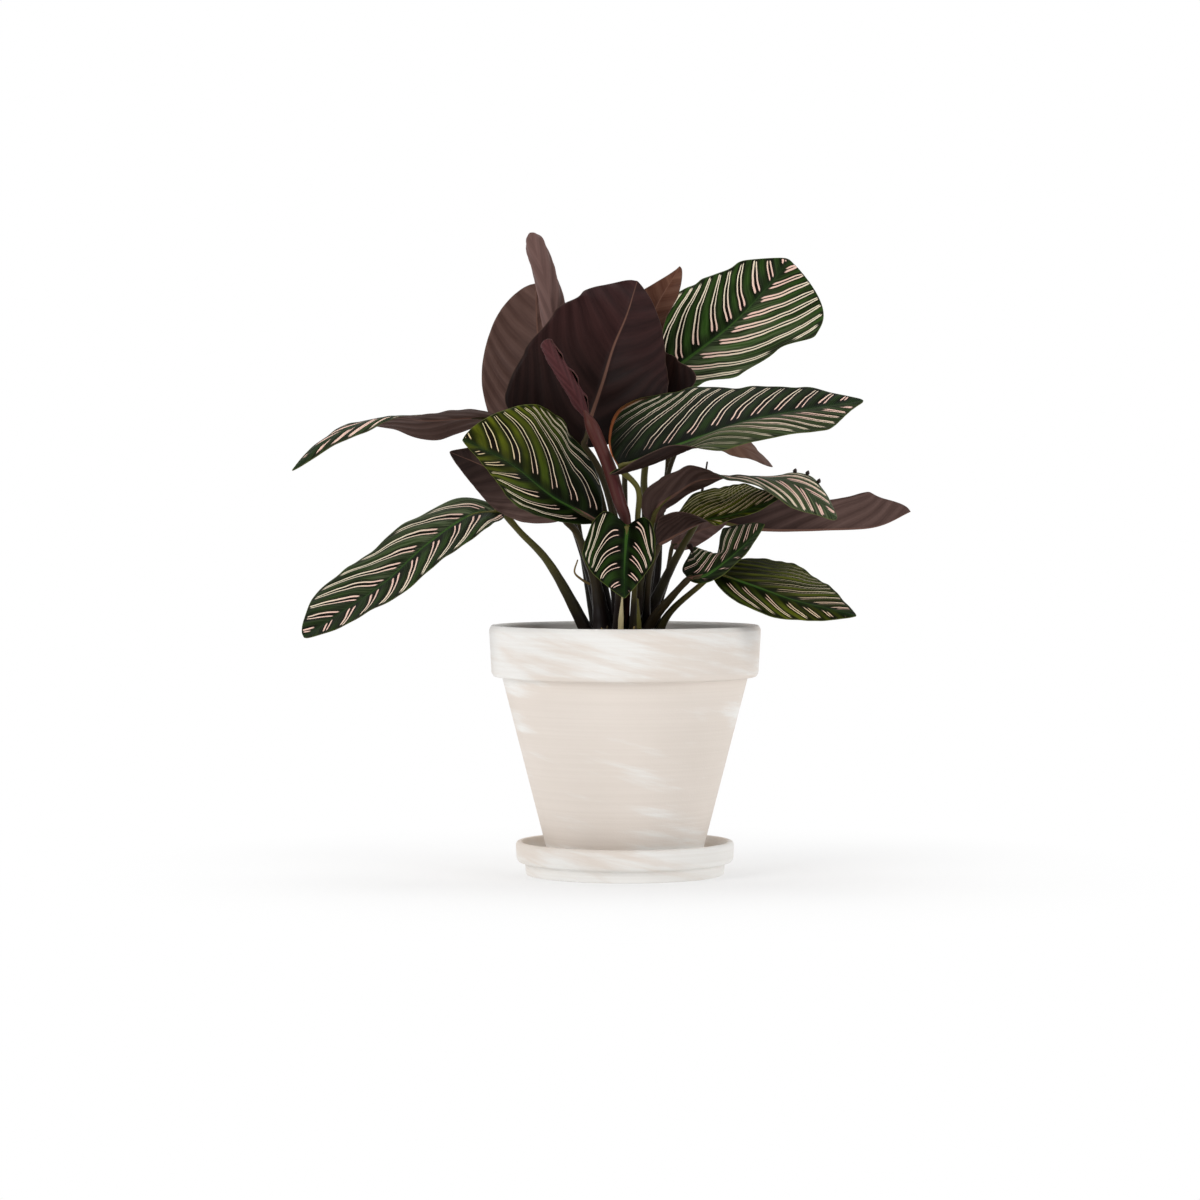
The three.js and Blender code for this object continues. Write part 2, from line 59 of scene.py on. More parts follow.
# %% Camera
MM = 0.001
sensor_width = 36
picture_width = 1200
focal_pixels = 3815
horizon_drop = 100.2
camera_place = (-16.6 * MM, -2534 * MM, 248.8 * MM)
camera_tilt = math.atan(horizon_drop / focal_pixels)

camera_data = bpy.data.cameras.new("camera")
camera_data.lens = sensor_width * focal_pixels / picture_width
camera_data.sensor_width = sensor_width
camera_data.clip_end = 20
camera = bpy.data.objects.new("camera", camera_data)
camera.location = camera_place
camera.rotation_euler = (math.pi / 2 - camera_tilt, 0, 0)
bpy.context.collection.objects.link(camera)
bpy.context.scene.camera = camera
print("lens", round(camera_data.lens, 1), "mm")

# %% [markdown]
# The leaves, as numbers
#
# Every leaf is described as a grower might: where its midrib runs, which way its striped
# side looks, how wide each half is, and how far that half folds up from the midrib and curls
# on to its margin. These are the CAD model's own values, in millimetres and degrees. Below
# them stand the values that only the looks need: how many pairs of lines a leaf carries, how
# yellow it is from base to tip, and how pale its purple underside is.

# %% The leaf table
leaves = {
    "heart": dict(rib=[[1, -70, 232], [0, -80, 220], [-1, -90, 204], [-1, -97, 186]],
        faces=[[0, -0.7, 0.7], [0, -0.9, 0.4], [0, -1, 0.1]],
        left=dict(half=19, curl=[-20], widest=0.3, base=0.35, tip=0.95, lobe=24),
        right=dict(half=28, curl=[-24], widest=0.3, base=0.35, tip=0.95, lobe=36), foot=[4, -26],
        stem=[[6, -34, 190], [7, -52, 218]], thick=[2.2, 1.5]),
    "front_left": dict(rib=[[-16, -44, 234], [-32, -56, 242], [-49, -72, 252], [-74, -94, 272],
            [-104, -106, 287]], faces=[[0.5, -0.75, 0.3]],
        left=dict(half=25, fold=[-82], curl=[0], base=0.8),
        right=dict(half=56, fold=[5], curl=[-16], widest=0.45, base=0.35, tip=0.7), foot=[-5, -18],
        stem=[[-4, -30, 190], [-7, -38, 218]], thick=[3.2, 1.8]),
    "left_underside": dict(rib=[[-41, -26, 237], [-62, -38, 253], [-88, -50, 269],
            [-114, -58, 280]], faces=[[-0.2, 0.8, 0.5]], left=dict(half=26),
        right=dict(half=21, fold=[-5], curl=[0], base=0.7), foot=[-13, -8],
        stem=[[-19, -10, 192], [-26, -14, 212], [-32, -18, 227]], thick=[5.4, 2.2]),
    "lower_left": dict(rib=[[-81, -12, 241], [-102, -22, 239], [-131, -38, 219], [-157, -52, 195],
            [-183, -62, 177], [-208, -70, 160]], faces=[[-0.25, -0.62, 0.74]],
        left=dict(widths=[18, 25, 25, 21, 17, 13], fold=[8], curl=[0]),
        right=dict(widths=[16, 24, 29, 32, 32, 25], fold=[5], curl=[-10]), foot=[-21, 0],
        stem=[[-36, -4, 182], [-52, -7, 209], [-69, -10, 227]], thick=[4.6, 2]),
    "far_left": dict(rib=[[-83, 8, 303], [-101, 2, 304], [-129, -12, 302], [-161, -30, 303],
            [-193, -44, 289], [-217, -50, 268]],
        faces=[[0, 0.57, 0.82], [-0.05, 0.6, 0.8], [-0.1, 0.1, 0.95], [-0.25, -0.45, 0.85],
            [-0.25, -0.55, 0.8]], left=dict(half=15), right=dict(half=16, waves=[[0.3, -4, 0.1]]),
        foot=[-13, 10], stem=[[-24, 12, 200], [-38, 12, 240], [-60, 12, 280]], thick=[3.2, 1.8]),
    "centre_dark": dict(rib=[[-27, -20, 284], [-23, -24, 302], [-15, -27, 326], [-8, -23, 349],
            [1, -12, 371], [8, 6, 394]], faces=[[-0.2, 0.97, 0.05]],
        left=dict(half=49, fold=[14], curl=[8], base=0.45, tip=0.6),
        right=dict(widths=[58, 57, 54, 44, 32, 22], fold=[14], curl=[0]), foot=[-2, 1],
        stem=[[-3, -6, 200], [-8, -14, 240], [-16, -19, 266]], thick=[4, 2.4]),
    "back_left": dict(rib=[[-38, 36, 280], [-46, 42, 305], [-55, 50, 335], [-59, 54, 365],
            [-60, 50, 395]], faces=[[0.1, 0.98, 0.15]],
        left=dict(half=38, fold=[12], base=0.5, tip=0.6),
        right=dict(half=43, fold=[8], base=0.5, tip=0.6), foot=[-8, 20],
        stem=[[-16, 24, 200], [-22, 28, 240]], thick=[3.4, 2]),
    "upright_roll": dict(rib=[[-33, 12, 302], [-40, 13, 332], [-46, 14, 362], [-53, 14, 396],
            [-63, 8, 426]], faces=[[0.1, 1, 0.1]],
        left=dict(widths=[10, 18, 22, 22, 19, 16], fold=[0], curl=[170], close=0.07),
        right=dict(widths=[14, 28, 34, 34, 29, 24], fold=[0], curl=[230], close=0.1),
        foot=[-3, 12], stem=[[-8, 10, 200], [-16, 10, 250]], thick=[3.2, 2]),
    "front_roll": dict(rib=[[-24, -46, 301], [-35, -56, 323], [-45, -60, 339], [-52, -62, 352]],
        faces=[[0, 1, 0]], left=dict(widths=[9, 14, 15, 14, 12], fold=[0], curl=[240], close=0.04),
        right=dict(widths=[12, 24, 26, 24, 20], fold=[0], curl=[300], close=0.05), foot=[-3, -9],
        stem=[[0, -26, 190], [0, -42, 222], [0, -46, 236], [-4, -48, 248], [-10, -48, 268],
            [-16, -47, 283]], thick=[3.6, 3.2, 3, 4.6, 4]),
    "top_right": dict(rib=[[22, 40, 326], [36, 44, 339], [72, 50, 367], [95, 54, 391],
            [112, 53, 411]], faces=[[-0.1, -0.97, 0.2]],
        left=dict(widths=[24, 38, 43, 40, 28, 18]), right=dict(widths=[12, 18, 29, 33, 46, 56]),
        foot=[6, 20], stem=[[12, 26, 205], [14, 32, 235], [13, 36, 262], [17, 40, 300]],
        thick=[3.4, 2]),
    "brown_tip": dict(rib=[[22, 20, 318], [14, 26, 345], [20, 30, 375], [37, 26, 405]],
        faces=[[0.2, 0.95, 0.2]], left=dict(widths=[44, 22, 9, 9, 9, 8], lobe=16),
        right=dict(half=26, widest=0.3, tip=1.3), foot=[8, 9],
        stem=[[14, 12, 205], [17, 16, 232], [13, 16, 262], [19, 18, 300]], thick=[3.2, 1.8]),
    "mid_right": dict(rib=[[-4, -66, 270], [16, -66, 278], [49, -63, 290], [82, -54, 301],
            [118, -42, 308], [156, -30, 314]], faces=[[-0.2, -0.65, 0.73]],
        left=dict(widths=[54, 57, 50, 36, 24, 12], fold=[5], lobe=12),
        right=dict(widths=[20, 26, 24, 22, 20, 8], fold=[-20, -15, 55, 30, 0, 0],
            curl=[100, 120, -110, -70, -20, -20], lobe=30), foot=[3, -17],
        stem=[[9, -24, 185], [8, -33, 208], [8, -42, 236], [8, -52, 256]], thick=[2.4, 1.8]),
    "pink_tip": dict(rib=[[43, 14, 299], [67, 22, 290], [87, 24, 281], [99, 20, 271]],
        faces=[[0.2, 0.5, 0.85]], left=dict(half=12), right=dict(half=12), foot=[15, 15],
        stem=[[22, 14, 200], [24, 12, 235], [30, 12, 270]], thick=[2.4, 1.5]),
    "arching": dict(rib=[[18, -24, 234], [22, -24, 245], [30, -22, 251], [45, -20, 261],
            [60, -24, 264], [88, -32, 264], [114, -38, 258], [138, -40, 236]],
        faces=[[0.2, 0.95, 0.2], [0, 0.7, 0.6], [0, 0.1, 1], [0.1, -0.45, 0.9], [0.1, -0.5, 0.85]],
        left=dict(widths=[6, 8, 10, 14, 20, 16], fold=[40, 20, 0, 0]),
        right=dict(widths=[12, 17, 15, 20, 21, 11]), foot=[5, -9],
        stem=[[8, -12, 180], [13, -18, 212]]),
    "yellow": dict(rib=[[22, -30, 220], [44, -32, 232], [55, -32, 236], [67, -32, 238],
            [80, -32, 242], [101, -30, 250]], faces=[[-0.3, -0.6, 0.75]],
        left=dict(widths=[7, 20, 31, 34, 30, 20], fold=[4]),
        right=dict(widths=[16, 22, 12, 4, 3, 2], fold=[95, 80, 20, -10, -10]), foot=[14, -10],
        stem=[[14, -18, 175], [16, -26, 200]]),
    "right_under": dict(rib=[[60, 26, 235], [93, 34, 229], [138, 42, 229], [170, 44, 231],
            [193, 42, 241]], faces=[[0, 0.9, 0.35]], left=dict(half=28, fold=[80]),
        right=dict(widths=[18, 20, 20, 20, 25, 20], fold=[10]), foot=[11, -2],
        stem=[[15, -6, 171], [32, -9, 207], [45, -10, 230], [51, 0, 240]], thick=[3.4, 2]),
    "twisted": dict(rib=[[41, -48, 198], [52, -56, 200], [65, -54, 209], [78, -46, 220],
            [91, -36, 233]], faces=[[-0.35, -0.85, 0.4]],
        left=dict(widths=[14, 29, 26, 19, 23, 22], lobe=38, waves=[[0.5, -14, 0.09]]),
        right=dict(half=5, fold=[-30]), foot=[11, -19], stem=[[17, -24, 168], [30, -38, 185]],
        thick=[3.8, 3.2, 2]),
    "lower_right": dict(rib=[[58, -40, 202], [84, -52, 193], [109, -60, 184], [129, -66, 179],
            [149, -70, 174]], faces=[[0.15, -0.65, 0.75]],
        left=dict(half=44, widest=0.36, base=0.35), right=dict(half=16, fold=[-15]),
        foot=[20, -15], stem=[[24, -24, 166], [32, -30, 178], [49, -37, 193]], thick=[2.8, 1.8]),
    "small_pink": dict(rib=[[31, 4, 218], [48, 8, 228], [68, 10, 234]], faces=[[0, 0.9, 0.4]],
        left=dict(half=8), right=dict(half=8), foot=[19, 1], stem=[[24, 2, 180], [28, 3, 200]],
        thick=[1.8, 1.3]),
    "back_low": dict(rib=[[-32, 40, 262], [-50, 62, 280], [-66, 94, 276], [-74, 122, 252]],
        faces=[[0, -0.3, 0.9], [0, 0.3, 0.9], [0, 0.7, 0.7]], left=dict(half=26),
        right=dict(half=26), foot=[-18, 20], stem=[[-26, 26, 200], [-32, 32, 238]]),
    "back_centre": dict(rib=[[0, 44, 286], [-4, 68, 310], [-8, 98, 324], [-10, 128, 316]],
        faces=[[0, -0.5, 0.8], [0, 0.1, 1], [0, 0.3, 0.9]], left=dict(half=24),
        right=dict(half=20), foot=[-1, 29], stem=[[0, 32, 220], [0, 38, 264]]),
    "back_right": dict(rib=[[30, 36, 286], [44, 60, 306], [60, 92, 308], [72, 120, 296]],
        faces=[[0, -0.3, 0.9], [0, 0.2, 1], [0, 0.5, 0.85]], left=dict(half=26),
        right=dict(half=26), foot=[13, 25], stem=[[20, 30, 220], [28, 34, 262]]),
}
usual_thick = [3, 1.8]
print("leaves:", len(leaves))

# %% What only the looks need
# pairs: pairs of lines along the midrib; slant: how far a line runs forward as it goes out;
# sweep: how far it bends forward near the margin; fine: half the thickness of a line, in mm;
# start: where lines begin, in mm from the midrib; bare: no lines and no midrib.
# dim: a painted shade of near-black where a leaf lies in shade; light: a painted sheen in pale
# grey streaks; fresh, yellow and burnt: young, yellowing and dry tissue above.
# pale, red and rust: tints of the underside, with pale also a painted sheen on the lit half of
# left_underside. stalk: its finish; sheath: how far its foot swells.
# A list runs from base to tip. A value that differs between the halves has left and right.
looks = {
    "heart": dict(pairs=4.6, slant=dict(left=0.35, right=-0.1), sweep=dict(left=1.1, right=1.5),
        start=3, fine=0.24, dim=[0.5, 0.3, 0.2], stalk="olive", sheath=1.6),
    "front_left": dict(pairs=6.5, dim=[0.7, 0.5, 0.1, 0, 0], slant=0.3, sweep=1.5, start=4.5,
        fine=0.34, yellow=[0, 0.05, 0.3, 0.8, 1], sheath=2.4),
    # The paler left half of this underside is partly a painted sheen, where that half is lit
    "left_underside": dict(pairs=8,
        pale=dict(left=[2.4, 2.0, 0.6, 0.1], right=[1.2, 0.8, 0.3, 0.1]), sheath=2),
    "lower_left": dict(pairs=9, slant=0.75, sweep=0.7, start=1.5, fine=0.6,
        light=dict(right=[0.9, 0.8, 0.5, 0.25, 0.1], left=[0.1]), stalk="olive", sheath=1.2),
    "far_left": dict(pairs=7, slant=3.2, dim=[0.3], start=1, fine=0.5, pale=[1.0, 0.8, 0.5],
        light=[0.1, 0.1, 0.2, 0.3]),
    "centre_dark": dict(pairs=7, pale=[0.0, 0.05, 0.1, 0.1], red=[0, 0.15, 0.5, 0.6], sweep=1.0,
        sheath=1.8),
    "back_left": dict(pairs=8, pale=[0.4, 0.8, 0.9], red=[0.2], rust=[0.15], sheath=1.8),
    "upright_roll": dict(pairs=5, slant=3.5, pale=[1.2, 1.4, 1.4], red=[0.4], bare=[1]),
    "front_roll": dict(pairs=5, slant=3.5, pale=[0.8, 0.9], red=[1.5], bare=[1], stalk="red",
        sheath=1.6),
    "top_right": dict(pairs=9, fresh=0.45, slant=dict(left=0.4, right=1.35), fine=0.6, start=2,
        sweep=dict(left=0.9, right=0.45), light=dict(left=[0.1], right=[0.9, 0.7, 0.5, 0.1])),
    "brown_tip": dict(pairs=8, pale=[0.0, 0.1, 0.2], red=[0.1, 0.4, 1.0], rust=[0, 0.1, 0.7, 0.9],
        stalk="olive"),
    "mid_right": dict(pairs=11, dim=[0.8, 0.45, 0.3, 0.3], slant=dict(left=0.9, right=2.4),
        fine=0.34, start=3.5, sweep=dict(left=0.8, right=0.3),
        bare=dict(left=[1, 0.1, 0, 0, 0], right=[1, 0.6, 0.1, 0]),
        light=dict(left=[0], right=[0.2, 0.8, 1, 0.8, 0.6, 0.4]),
        burnt=dict(left=[1, 0, 0, 0, 0], right=[0]), yellow=dict(left=[0], right=[0.7, 0.4, 0, 0]),
        stalk="olive", sheath=1.9),
    "pink_tip": dict(pairs=5, pale=[1.8, 2.3], red=[0.1], rust=[0.7, 0.7, 0.2]),
    "arching": dict(pairs=9, slant=1.6, start=1.5, fine=0.6, pale=[0.7, 0.6, 0.3],
        light=[0, 0, 0.3, 1, 1, 0.9], stalk="olive"),
    "yellow": dict(pairs=9, slant=1.9, start=1.5, fine=0.2, pale=[0.4],
        yellow=[0.7, 1.2, 1.1, 0.5], sheath=2),
    "right_under": dict(pairs=7, slant=1.8, pale=[0.1, 0.5, 0.9, 0.9], red=[0.1], stalk="olive",
        sheath=1.9),
    "twisted": dict(pairs=6, dim=[0.4], slant=1.7, start=1, fine=0.18, light=[0.1, 0.5], sheath=2),
    "lower_right": dict(pairs=7, dim=[0.4, 0.2, 0.3], slant=1.5, fine=0.24, sheath=1.9,
        bare=dict(left=[1, 0.9, 0.3, 0, 0], right=[0.2, 0]),
        yellow=dict(left=[1.0, 1.0, 0.6, 0.1], right=[0.2, 0.4, 0.7, 0.3]), stalk="olive"),
    "small_pink": dict(pairs=5, pale=[1.3, 1.4], red=[0.3]),
}
for name in ("back_low", "back_centre", "back_right"):
    looks[name] = dict(pairs=8, slant=0.6, fine=0.6)
usual_look = dict(slant=0.5, sweep=0.75, start=2.5, fine=0.42, fresh=0.1, yellow=[0], light=[0],
                  dim=[0.1], bare=[0], burnt=[0], pale=[0.1], red=[0], rust=[0])

# %% [markdown]
# Curves along a leaf
#
# A midrib is a smooth curve through a few given points. A Catmull-Rom curve passes through
# each of them, which makes it easy to steer, and reading it at even lengths keeps the veins
# evenly spaced. Bezier handles would do as well but need two more points for each knot.


# %% Curve helpers
def curve_points(points, t):
    """Points of a Catmull-Rom curve, for t from 0 to 1."""
    knots = np.array(points, float)
    knots = np.vstack([2 * knots[0] - knots[1], knots, 2 * knots[-1] - knots[-2]])
    place = np.clip(t, 0, 1) * (len(points) - 1)
    index = np.minimum(place.astype(int), len(points) - 2)
    part = (place - index)[:, None]
    before, start, end, after = (knots[index + step] for step in range(4))
    slope = end - before
    bend = 2 * before - 5 * start + 4 * end - after
    rest = 3 * (start - end) + after - before
    return start + 0.5 * part * (slope + part * (bend + part * rest))


def along_curve(points, u):
    """Places and directions at even lengths, and the curve's whole length."""
    fine = np.linspace(0, 1, 801)
    raw = curve_points(points, fine)
    steps = np.linalg.norm(np.diff(raw, axis=0), axis=1)
    length = np.concatenate([[0], np.cumsum(steps)])
    places = curve_points(points, np.interp(u * length[-1], length, fine))
    ahead = curve_points(points, np.interp(u * length[-1] + 0.3, length, fine))
    behind = curve_points(points, np.interp(u * length[-1] - 0.3, length, fine))
    return places, unit(ahead - behind), length[-1]


def unit(vectors):
    return vectors / np.linalg.norm(vectors, axis=-1, keepdims=True)


def eased(values, u):
    """Reads a list of values from base to tip, with an easy change from one to the next."""
    values = np.array(values, float)
    if len(values) == 1:
        return np.broadcast_to(values[0], u.shape + values.shape[1:]).copy()
    place = u * (len(values) - 1)
    index = np.minimum(place.astype(int), len(values) - 2)
    part = place - index
    part = part * part * (3 - 2 * part)
    if values.ndim > 1:
        part = part[:, None]
    return values[index] + (values[index + 1] - values[index]) * part


def rib_frame(leaf, u):
    """The midrib's places and directions, the side that looks up, and the leaf's length."""
    centre, tangent, length = along_curve(leaf["rib"], u)
    up = eased(leaf["faces"], u)
    up = unit(up - tangent * np.sum(up * tangent, axis=1, keepdims=True))
    return centre, tangent, up, length


# %% [markdown]
# One leaf blade
#
# A blade is a grid: rows run across the leaf, and columns run with the midrib. Each row walks
# outward from the midrib and turns a little at every step, so the same code makes a flat
# leaf, a trough, a folded half or a rolled young leaf. A sheet with two sides a third of a
# millimetre apart, and not one face with a modifier, lets the striped and the purple side
# carry their own finish and gives the underside its keel.

# %% Outline of one half
ripple_height = 1.1
ripple_count = 3.2


def half_width(half, u):
    """The width of one half from base to tip."""
    quarter = math.pi / 2
    if "widths" in half:
        base_round = np.sin(quarter * np.minimum(u / 0.16, 1)) ** 0.5
        tip_round = np.sin(quarter * np.minimum((1 - u) / half.get("close", 0.22), 1)) ** 0.6
        return eased(half["widths"], u) * base_round * tip_round
    widest = half.get("widest", 0.4)
    rising = np.sin(quarter * np.minimum(u / widest, 1)) ** half.get("base", 0.6)
    fall = np.maximum((u - widest) / (1 - widest), 0)
    falling = np.maximum(np.cos(quarter * fall), 0) ** half.get("tip", 0.85)
    return half["half"] * np.where(u < widest, rising, falling)


def margin_lift(half, u, side):
    """The gentle ripple of a margin, with the waves that are listed for its half."""
    lift = ripple_height * np.sin(2 * math.pi * ripple_count * u + side) * np.sin(math.pi * u)
    for place, height, spread in half.get("waves", []):
        lift = lift + height * np.exp(-(((u - place) / spread) ** 2))
    return lift


# %% One half as a sheet
blade_columns = 24
base_half_width = 1.6
tip_half_width = 0.5
lobe_reach = 0.35
flutter_height = 0.5
quilt_height = 0.5
groove_depth = 0.45
groove_width = 1.6
more_forward_at_tip = 0.35
vein_stagger = 0.4


def half_sheet(leaf, look, rib, u, side, seed):
    """Points of one half from the midrib to the margin, and what its finish needs."""
    half = leaf["left"] if side < 0 else leaf["right"]
    centre, tangent, up, length = rib
    sideways = np.cross(tangent, up)
    full = half_width(half, u)
    width = (full + base_half_width + (tip_half_width - base_half_width) * u)[:, None]
    share = (np.arange(blade_columns + 1) / blade_columns) ** 1.3
    middle = (share[1:] + share[:-1]) / 2
    fold = np.radians(eased(half.get("fold", [-6]), u))[:, None]
    curl = np.radians(eased(half.get("curl", [-12]), u))[:, None]
    turn = fold + curl * middle
    step = np.diff(share) * width
    out = np.cumsum(np.cos(turn) * step, axis=1)
    rise = np.cumsum(np.sin(turn) * step, axis=1)
    share = share[1:][None, :]
    turn = fold + curl * share
    greatest = half.get("half") or max(half["widths"])
    back = half.get("lobe", 0) * width / greatest
    back = back * np.maximum(1 - u / lobe_reach, 0)[:, None] ** 2 * share

    reach = share * width
    spacing = length / look["pairs"]
    own = {}
    for fact in usual_look:
        value = look.get(fact, usual_look[fact])
        value = value["left" if side < 0 else "right"] if isinstance(value, dict) else value
        value = value if isinstance(value, list) else [value]
        own[fact] = np.broadcast_to(eased(value, u)[:, None], reach.shape)
    slant = own.pop("slant") + more_forward_at_tip * u[:, None]
    sweep = own.pop("sweep") / max(full.max(), 8) ** 2
    vein = (u[:, None] * length - reach * slant - sweep * reach ** 3) / spacing
    vein = vein + (vein_stagger if side > 0 else 0) + seed
    apart = spacing / np.sqrt(1 + (slant + 3 * sweep * reach ** 2) ** 2)

    lift = margin_lift(half, u, side)[:, None] * share ** 2
    flutter = np.sin(u[:, None] * 41 + 3 * seed + 2 * side) * np.sin(u[:, None] * 17 + seed)
    lift = lift + flutter_height * flutter * share ** 4 * np.minimum(width / 15, 1)
    quilt = np.cos(2 * math.pi * vein) * np.sin(math.pi * share) * np.minimum(width / 20, 1)
    groove = np.exp(-((reach / groove_width) ** 2)) * (1 - u[:, None])
    lift = lift - quilt_height * quilt - groove_depth * groove

    def place(amount_out, amount_up, amount_back):
        return (centre[:, None] + sideways[:, None] * amount_out[..., None]
                + up[:, None] * amount_up[..., None] - tangent[:, None] * amount_back[..., None])

    points = place(side * (out - np.sin(turn) * lift), rise + np.cos(turn) * lift, back)
    facts = dict(vein=vein, reach=reach, margin=(1 - share) * width,
                 along=np.broadcast_to(u[:, None], reach.shape), spacing=apart, **own)
    return points, facts


# %% Both halves together
blade_rows = 110


def blade_grid(leaf, look, seed):
    """The striped upper side of a leaf as a grid of points, with its facts."""
    even = np.linspace(0, 1, blade_rows + 1)
    u = 0.5 * even + 0.5 * (1 - np.cos(np.pi * even)) / 2
    rib = rib_frame(leaf, u)
    left, left_facts = half_sheet(leaf, look, rib, u, -1, seed)
    right, right_facts = half_sheet(leaf, look, rib, u, 1, seed)
    centre, _, up, _ = rib
    middle = centre - up * (groove_depth * (1 - u))[:, None]
    grid = np.concatenate([left[:, ::-1], middle[:, None], right], axis=1)
    facts = {}
    for name in left_facts:
        near = (left_facts[name][:, :1] + right_facts[name][:, :1]) / 2
        if name == "reach":
            near = near * 0
        facts[name] = np.concatenate(
            [left_facts[name][:, ::-1], near, right_facts[name]], axis=1)
    return grid, facts, u


def sheet_normals(grid):
    crosswise = np.gradient(grid, axis=1)
    lengthwise = np.gradient(grid, axis=0)
    return unit(np.cross(crosswise, lengthwise) + 1e-9)


# %% Mesh helper
def new_object(name, points, faces, materials, face_material=None, facts=None):
    """A smooth mesh object from points in millimetres."""
    mesh = bpy.data.meshes.new(name)
    mesh.from_pydata((np.asarray(points) * MM).tolist(), [], faces)
    for material in materials:
        mesh.materials.append(material)
    mesh.polygons.foreach_set("use_smooth", [True] * len(mesh.polygons))
    if face_material is not None:
        mesh.polygons.foreach_set("material_index", face_material)
    for fact, values in (facts or {}).items():
        layer = mesh.attributes.new(fact, "FLOAT", "POINT")
        layer.data.foreach_set("value", np.asarray(values, np.float32).ravel())
    mesh.update()
    made = bpy.data.objects.new(name, mesh)
    bpy.context.collection.objects.link(made)
    return made


def grid_faces(rows, columns, start=0, flip=False):
    """Quads of a grid of points that is stored row by row."""
    corner = start + np.arange(rows - 1)[:, None] * columns + np.arange(columns - 1)[None, :]
    corner = corner.ravel()
    quads = np.stack([corner, corner + 1, corner + columns + 1, corner + columns], axis=1)
    return (quads[:, ::-1] if flip else quads).tolist()


# %% [markdown]
# Colours and a node helper
#
# Blender's shaders work in linear light, while the colours listed here are sRGB. One function
# turns a hex value into linear numbers, and one adds a node with its settings and links. A
# noise counts its waves in a metre, so a scale of 70 gives patches of about 14 mm.


# %% Colour and node helpers
def colour(text):
    parts = [int(text[i:i + 2], 16) / 255 for i in (1, 3, 5)]
    linear = [p / 12.92 if p <= 0.04045 else ((p + 0.055) / 1.055) ** 2.4 for p in parts]
    return (*linear, 1)


def node(tree, kind, *inputs, out=0, **named):
    """Adds a node, sets it up, sets or links its inputs, and returns one of its outputs.

    Inputs are values or sockets, in order, or as a dict of numbers, or by a name that starts
    with a capital. A name in small letters is one of the node's settings."""
    made = tree.nodes.new("ShaderNode" + kind)
    wanted = inputs[0] if inputs and isinstance(inputs[0], dict) else dict(enumerate(inputs))
    for name, value in named.items():
        if name.islower():
            setattr(made, name, value)
        else:
            wanted[name.replace("_", " ")] = value
    for place, value in wanted.items():
        if isinstance(value, bpy.types.NodeSocket):
            tree.links.new(value, made.inputs[place])
        else:
            made.inputs[place].default_value = value
    return made.outputs[out] if made.outputs else made


def new_finish(name):
    """An empty material, and the node helper for its own tree."""
    made = bpy.data.materials.new(name)
    made.use_nodes = True
    made.node_tree.nodes.clear()
    return made, functools.partial(node, made.node_tree)


def close_finish(add, base, roughness, bump_height, bump_depth, **constants):
    """Ends a material in a Principled shader with bump, and constants on its own sockets."""
    normal = add("Bump", Strength=1.0, Distance=bump_depth * MM, Height=bump_height)
    shader = add("BsdfPrincipled", Base_Color=base, Roughness=roughness, Normal=normal,
                 **constants)
    add("OutputMaterial", Surface=shader)


# Settings that many nodes share
blend = dict(out=2, data_type="RGBA")
smooth = dict(interpolation_type="SMOOTHSTEP")
times = dict(operation="MULTIPLY")
times_plus = dict(operation="MULTIPLY_ADD")

# %% [markdown]
# Streaks and the midrib
#
# Both sides of a leaf show fine streaks that run with the veins, and the midrib as a thin
# line. Each is a few nodes that the two finishes share. A noise is stretched by feeding it the
# vein number, which changes fast, and the distance from the midrib, which changes slowly.

# %% Streaks and the midrib
def streaks(add, across, fast, along, slow, detail):
    """Noise drawn out along the veins: it changes fast across them and slowly along them."""
    across = add("Math", across, fast, **times)
    along = add("Math", along, slow, **times)
    place = add("CombineXYZ", across, along, along)
    return add("TexNoise", Vector=place, Scale=1.0, Detail=detail)


def midrib(add, along, reach, tip_place, base_width, strength):
    """The midrib's thin line, which narrows from the leaf's base to its tip."""
    width = add("MapRange", along, 0.0, tip_place, base_width, 0.1)
    inside = add("Math", width, reach, operation="SUBTRACT")
    return add("MapRange", inside, -0.3, 0.3, 0.0, strength, **smooth)


# %% [markdown]
# Lines beside the veins
#
# On the real leaf each lateral vein carries a pair of hair-thin lines, pink where they leave
# the midrib and cream further out, with almost black green between them. They start a few
# millimetres off the midrib and fade before the margin. The mesh carries a number that grows
# by one from each vein to the next, so a line is simply a narrow band of that number, and it
# follows the veins round every fold. A picture of the leaf would show one leaf only, and
# these lines are drawn for each leaf at its own spacing.


